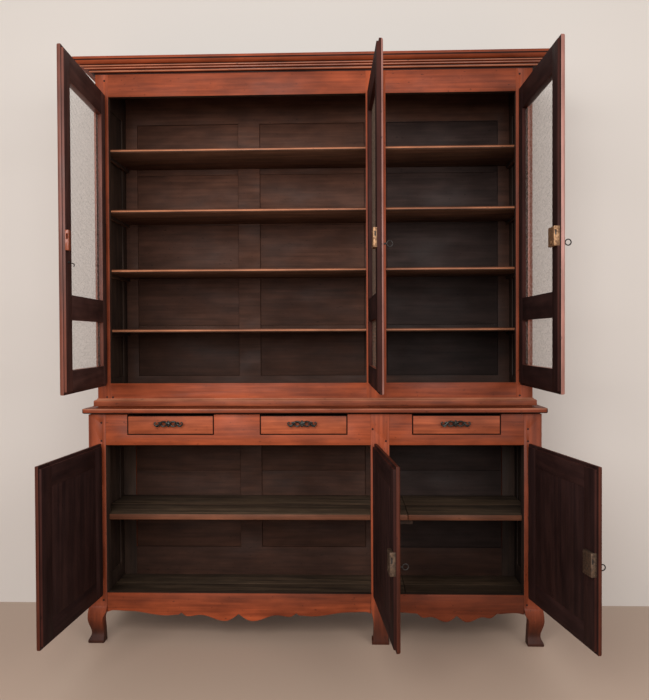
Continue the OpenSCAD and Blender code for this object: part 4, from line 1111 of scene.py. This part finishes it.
LEAVES = (  # place across and up, radius, and how flat
    (0, 0, 8.4, 0.42), (0, 8.5, 4.6, 0.5), (0, -8.5, 4.6, 0.5),
    (-7.6, 0.5, 4.4, 0.5), (7.6, 0.5, 4.4, 0.5))


def scroll(stations, hand):
    """A tapering rounded bar along the stations of a scroll, to the left or right."""
    path = bpy.data.curves.new("scroll", "CURVE")
    path.dimensions = "3D"
    path.bevel_depth = MM
    path.bevel_resolution = 2
    path.use_fill_caps = True
    path.resolution_u = 5
    line = path.splines.new("NURBS")
    line.points.add(len(stations) - 1)
    line.order_u = 4
    line.use_endpoint_u = True
    for point, ((x, z), radius) in zip(line.points, stations):
        point.co = (hand * x * MM, PULL_FACE * MM, z * MM, 1)
        point.radius = radius * SWELL
    bar = bpy.data.objects.new("scroll", path)
    scene.collection.objects.link(bar)
    deselect()
    bpy.context.view_layer.objects.active = bar
    bar.select_set(True)
    bpy.ops.object.convert(target="MESH")
    return bpy.context.object


black_cast = metal_finish("black_cast", (0.050, 0.052, 0.047), (0.012, 0.009, 0.007),
                          metallic=0.8, roughness=0.3)
parts = []
for hand in (-1, 1):
    for stations in SCROLLS:
        parts.append(scroll(stations, hand))
    parts.append(turned("stud", STUD_RADIUS, PULL_FACE, SUNK, hand * STUD_OUT, 0, 14))
    parts.append(turned("rose", ROSE_RADIUS, -ROSE_THICK, 0, hand * STUD_OUT, 0, 16))
for x, z, radius, flat in LEAVES:
    deselect()
    bpy.ops.mesh.primitive_uv_sphere_add(segments=18, ring_count=10, radius=radius * MM)
    round_leaf = bpy.context.object
    place = Matrix.Translation(Vector((x, PULL_FACE + LEAF_IN, z)) * MM)
    round_leaf.data.transform(place @ Matrix.Diagonal((1, flat, 1, 1)))
    parts.append(round_leaf)
pattern = joined("pull_pattern", parts)
for side in ("left", "middle", "right"):
    low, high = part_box(side + "_drawer_pull")
    pull = bpy.data.objects.new(side + "_drawer_pull_cast", pattern.data.copy())
    scene.collection.objects.link(pull)
    pull.data.transform(Matrix.Translation(((low.x + high.x) / 2, FRONT_Y, (low.z + high.z) / 2)))
    finished(pull, black_cast, side + "_drawer_pull", side + "_drawer", 0.0003)
bpy.data.objects.remove(pattern)


# Drawers and the keeper of the upper left door: each drawer is a cherry front on a nailed box of
# softwood that slides on runners; the keeper is a small cherry block screwed to its door.
def any_side(face):
    return face.normal.y > -0.98


for side in ("left", "middle", "right"):
    # painted shade: all faces but the flat front of each drawer front are near-black, drawing the dark
    # gap round it
    softened(side + "_drawer_front", 0.003, drawer_cherry, [(grimy_cherry, any_side)])
    softened(side + "_drawer_box", 0.0008, stained_pine)
softened("upper_left_keeper", 0.0015, door_cherry)

# Wire netting: six-sided cells of galvanised wire, twisted where two wires run together,
# stretched over each opening of the upper doors and nailed on the ledge. Sizes in millimetres.
CELL_W = 14.0
CELL_H = 12.0
TWIST_H = CELL_H * 0.36
WIRE = 0.3
TWISTED = WIRE * 1.9
NET_Y = 1.2
NET_PLAY = 0.7
NET_SPANS = {"low": (FOOT_RAIL_TOP + 1, MIDDLE_RAIL[0] - 1),
             "high": (MIDDLE_RAIL[1] + 1, HEAD_RAIL_FOOT - 1)}


def wire_net(name, x0, x1, z0, z1):
    """Staggered six-sided cells between the edges given, cut off at the opening."""
    columns = math.ceil((x1 - x0) / CELL_W) + 1
    rows = math.ceil((z1 - z0) / CELL_H) + 1
    strands = []
    for r in range(rows):
        for c in range(columns):
            x = x0 + (c + (0.5 if r % 2 else 0)) * CELL_W - CELL_W / 2
            z = z0 + r * CELL_H
            strands.append(((x, z), (x, z + TWIST_H), TWISTED))
            strands.append(((x, z + TWIST_H), (x + CELL_W / 2, z + CELL_H), WIRE))
            strands.append(((x, z + TWIST_H), (x - CELL_W / 2, z + CELL_H), WIRE))
    deselect()
    bpy.ops.mesh.primitive_cube_add(size=1)
    net = bpy.context.object
    net.name = name
    shape = bmesh.new()
    for (ax, az), (bx, bz), width in strands:
        if max(ax, bx) < x0 or min(ax, bx) > x1 or az < z0 or bz > z1:
            continue
        along = Vector((bx - ax, 0, bz - az))
        side = Vector((along.z, 0, -along.x)).normalized() * width
        depth = Vector((0, width, 0))
        ends = []
        for x, z in ((ax, az), (bx, bz)):
            centre = Vector((min(max(x, x0), x1), NET_Y, z))
            ends.append([shape.verts.new((centre + off) * MM) for off in (side, depth, -side, -depth)])
        for k in range(4):
            shape.faces.new((ends[0][k], ends[0][(k + 1) % 4], ends[1][(k + 1) % 4], ends[1][k]))
    bmesh.ops.recalc_face_normals(shape, faces=shape.faces)
    shape.to_mesh(net.data)
    shape.free()
    return net


grey_wire = metal_finish("grey_wire", (0.46, 0.40, 0.36), (0.13, 0.10, 0.08),
                         metallic=0.5, roughness=0.45)
rusty_wire = metal_finish("rusty_wire", (0.15, 0.105, 0.075), (0.07, 0.045, 0.03),
                          metallic=0.4, roughness=0.5)
for door, wire in (("upper_left", grey_wire), ("upper_middle", rusty_wire), ("upper_right", grey_wire)):
    inner = UPPER_HINGE_STILE + NET_PLAY
    outer = DOORS[door].width - UPPER_FREE_STILE - NET_PLAY
    sheets = [wire_net(name, inner, outer, low, high) for name, (low, high) in NET_SPANS.items()]
    net = joined(door + "_net_wire", sheets)
    net.data.materials.clear()
    net.data.materials.append(wire)
    swing(net, door)
    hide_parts(door + "_net")
    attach(net, door + "_door")

low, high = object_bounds()
sizes = {"cad": [list(cad_box[0]), list(cad_box[1])], "visual": [list(low), list(high)]}
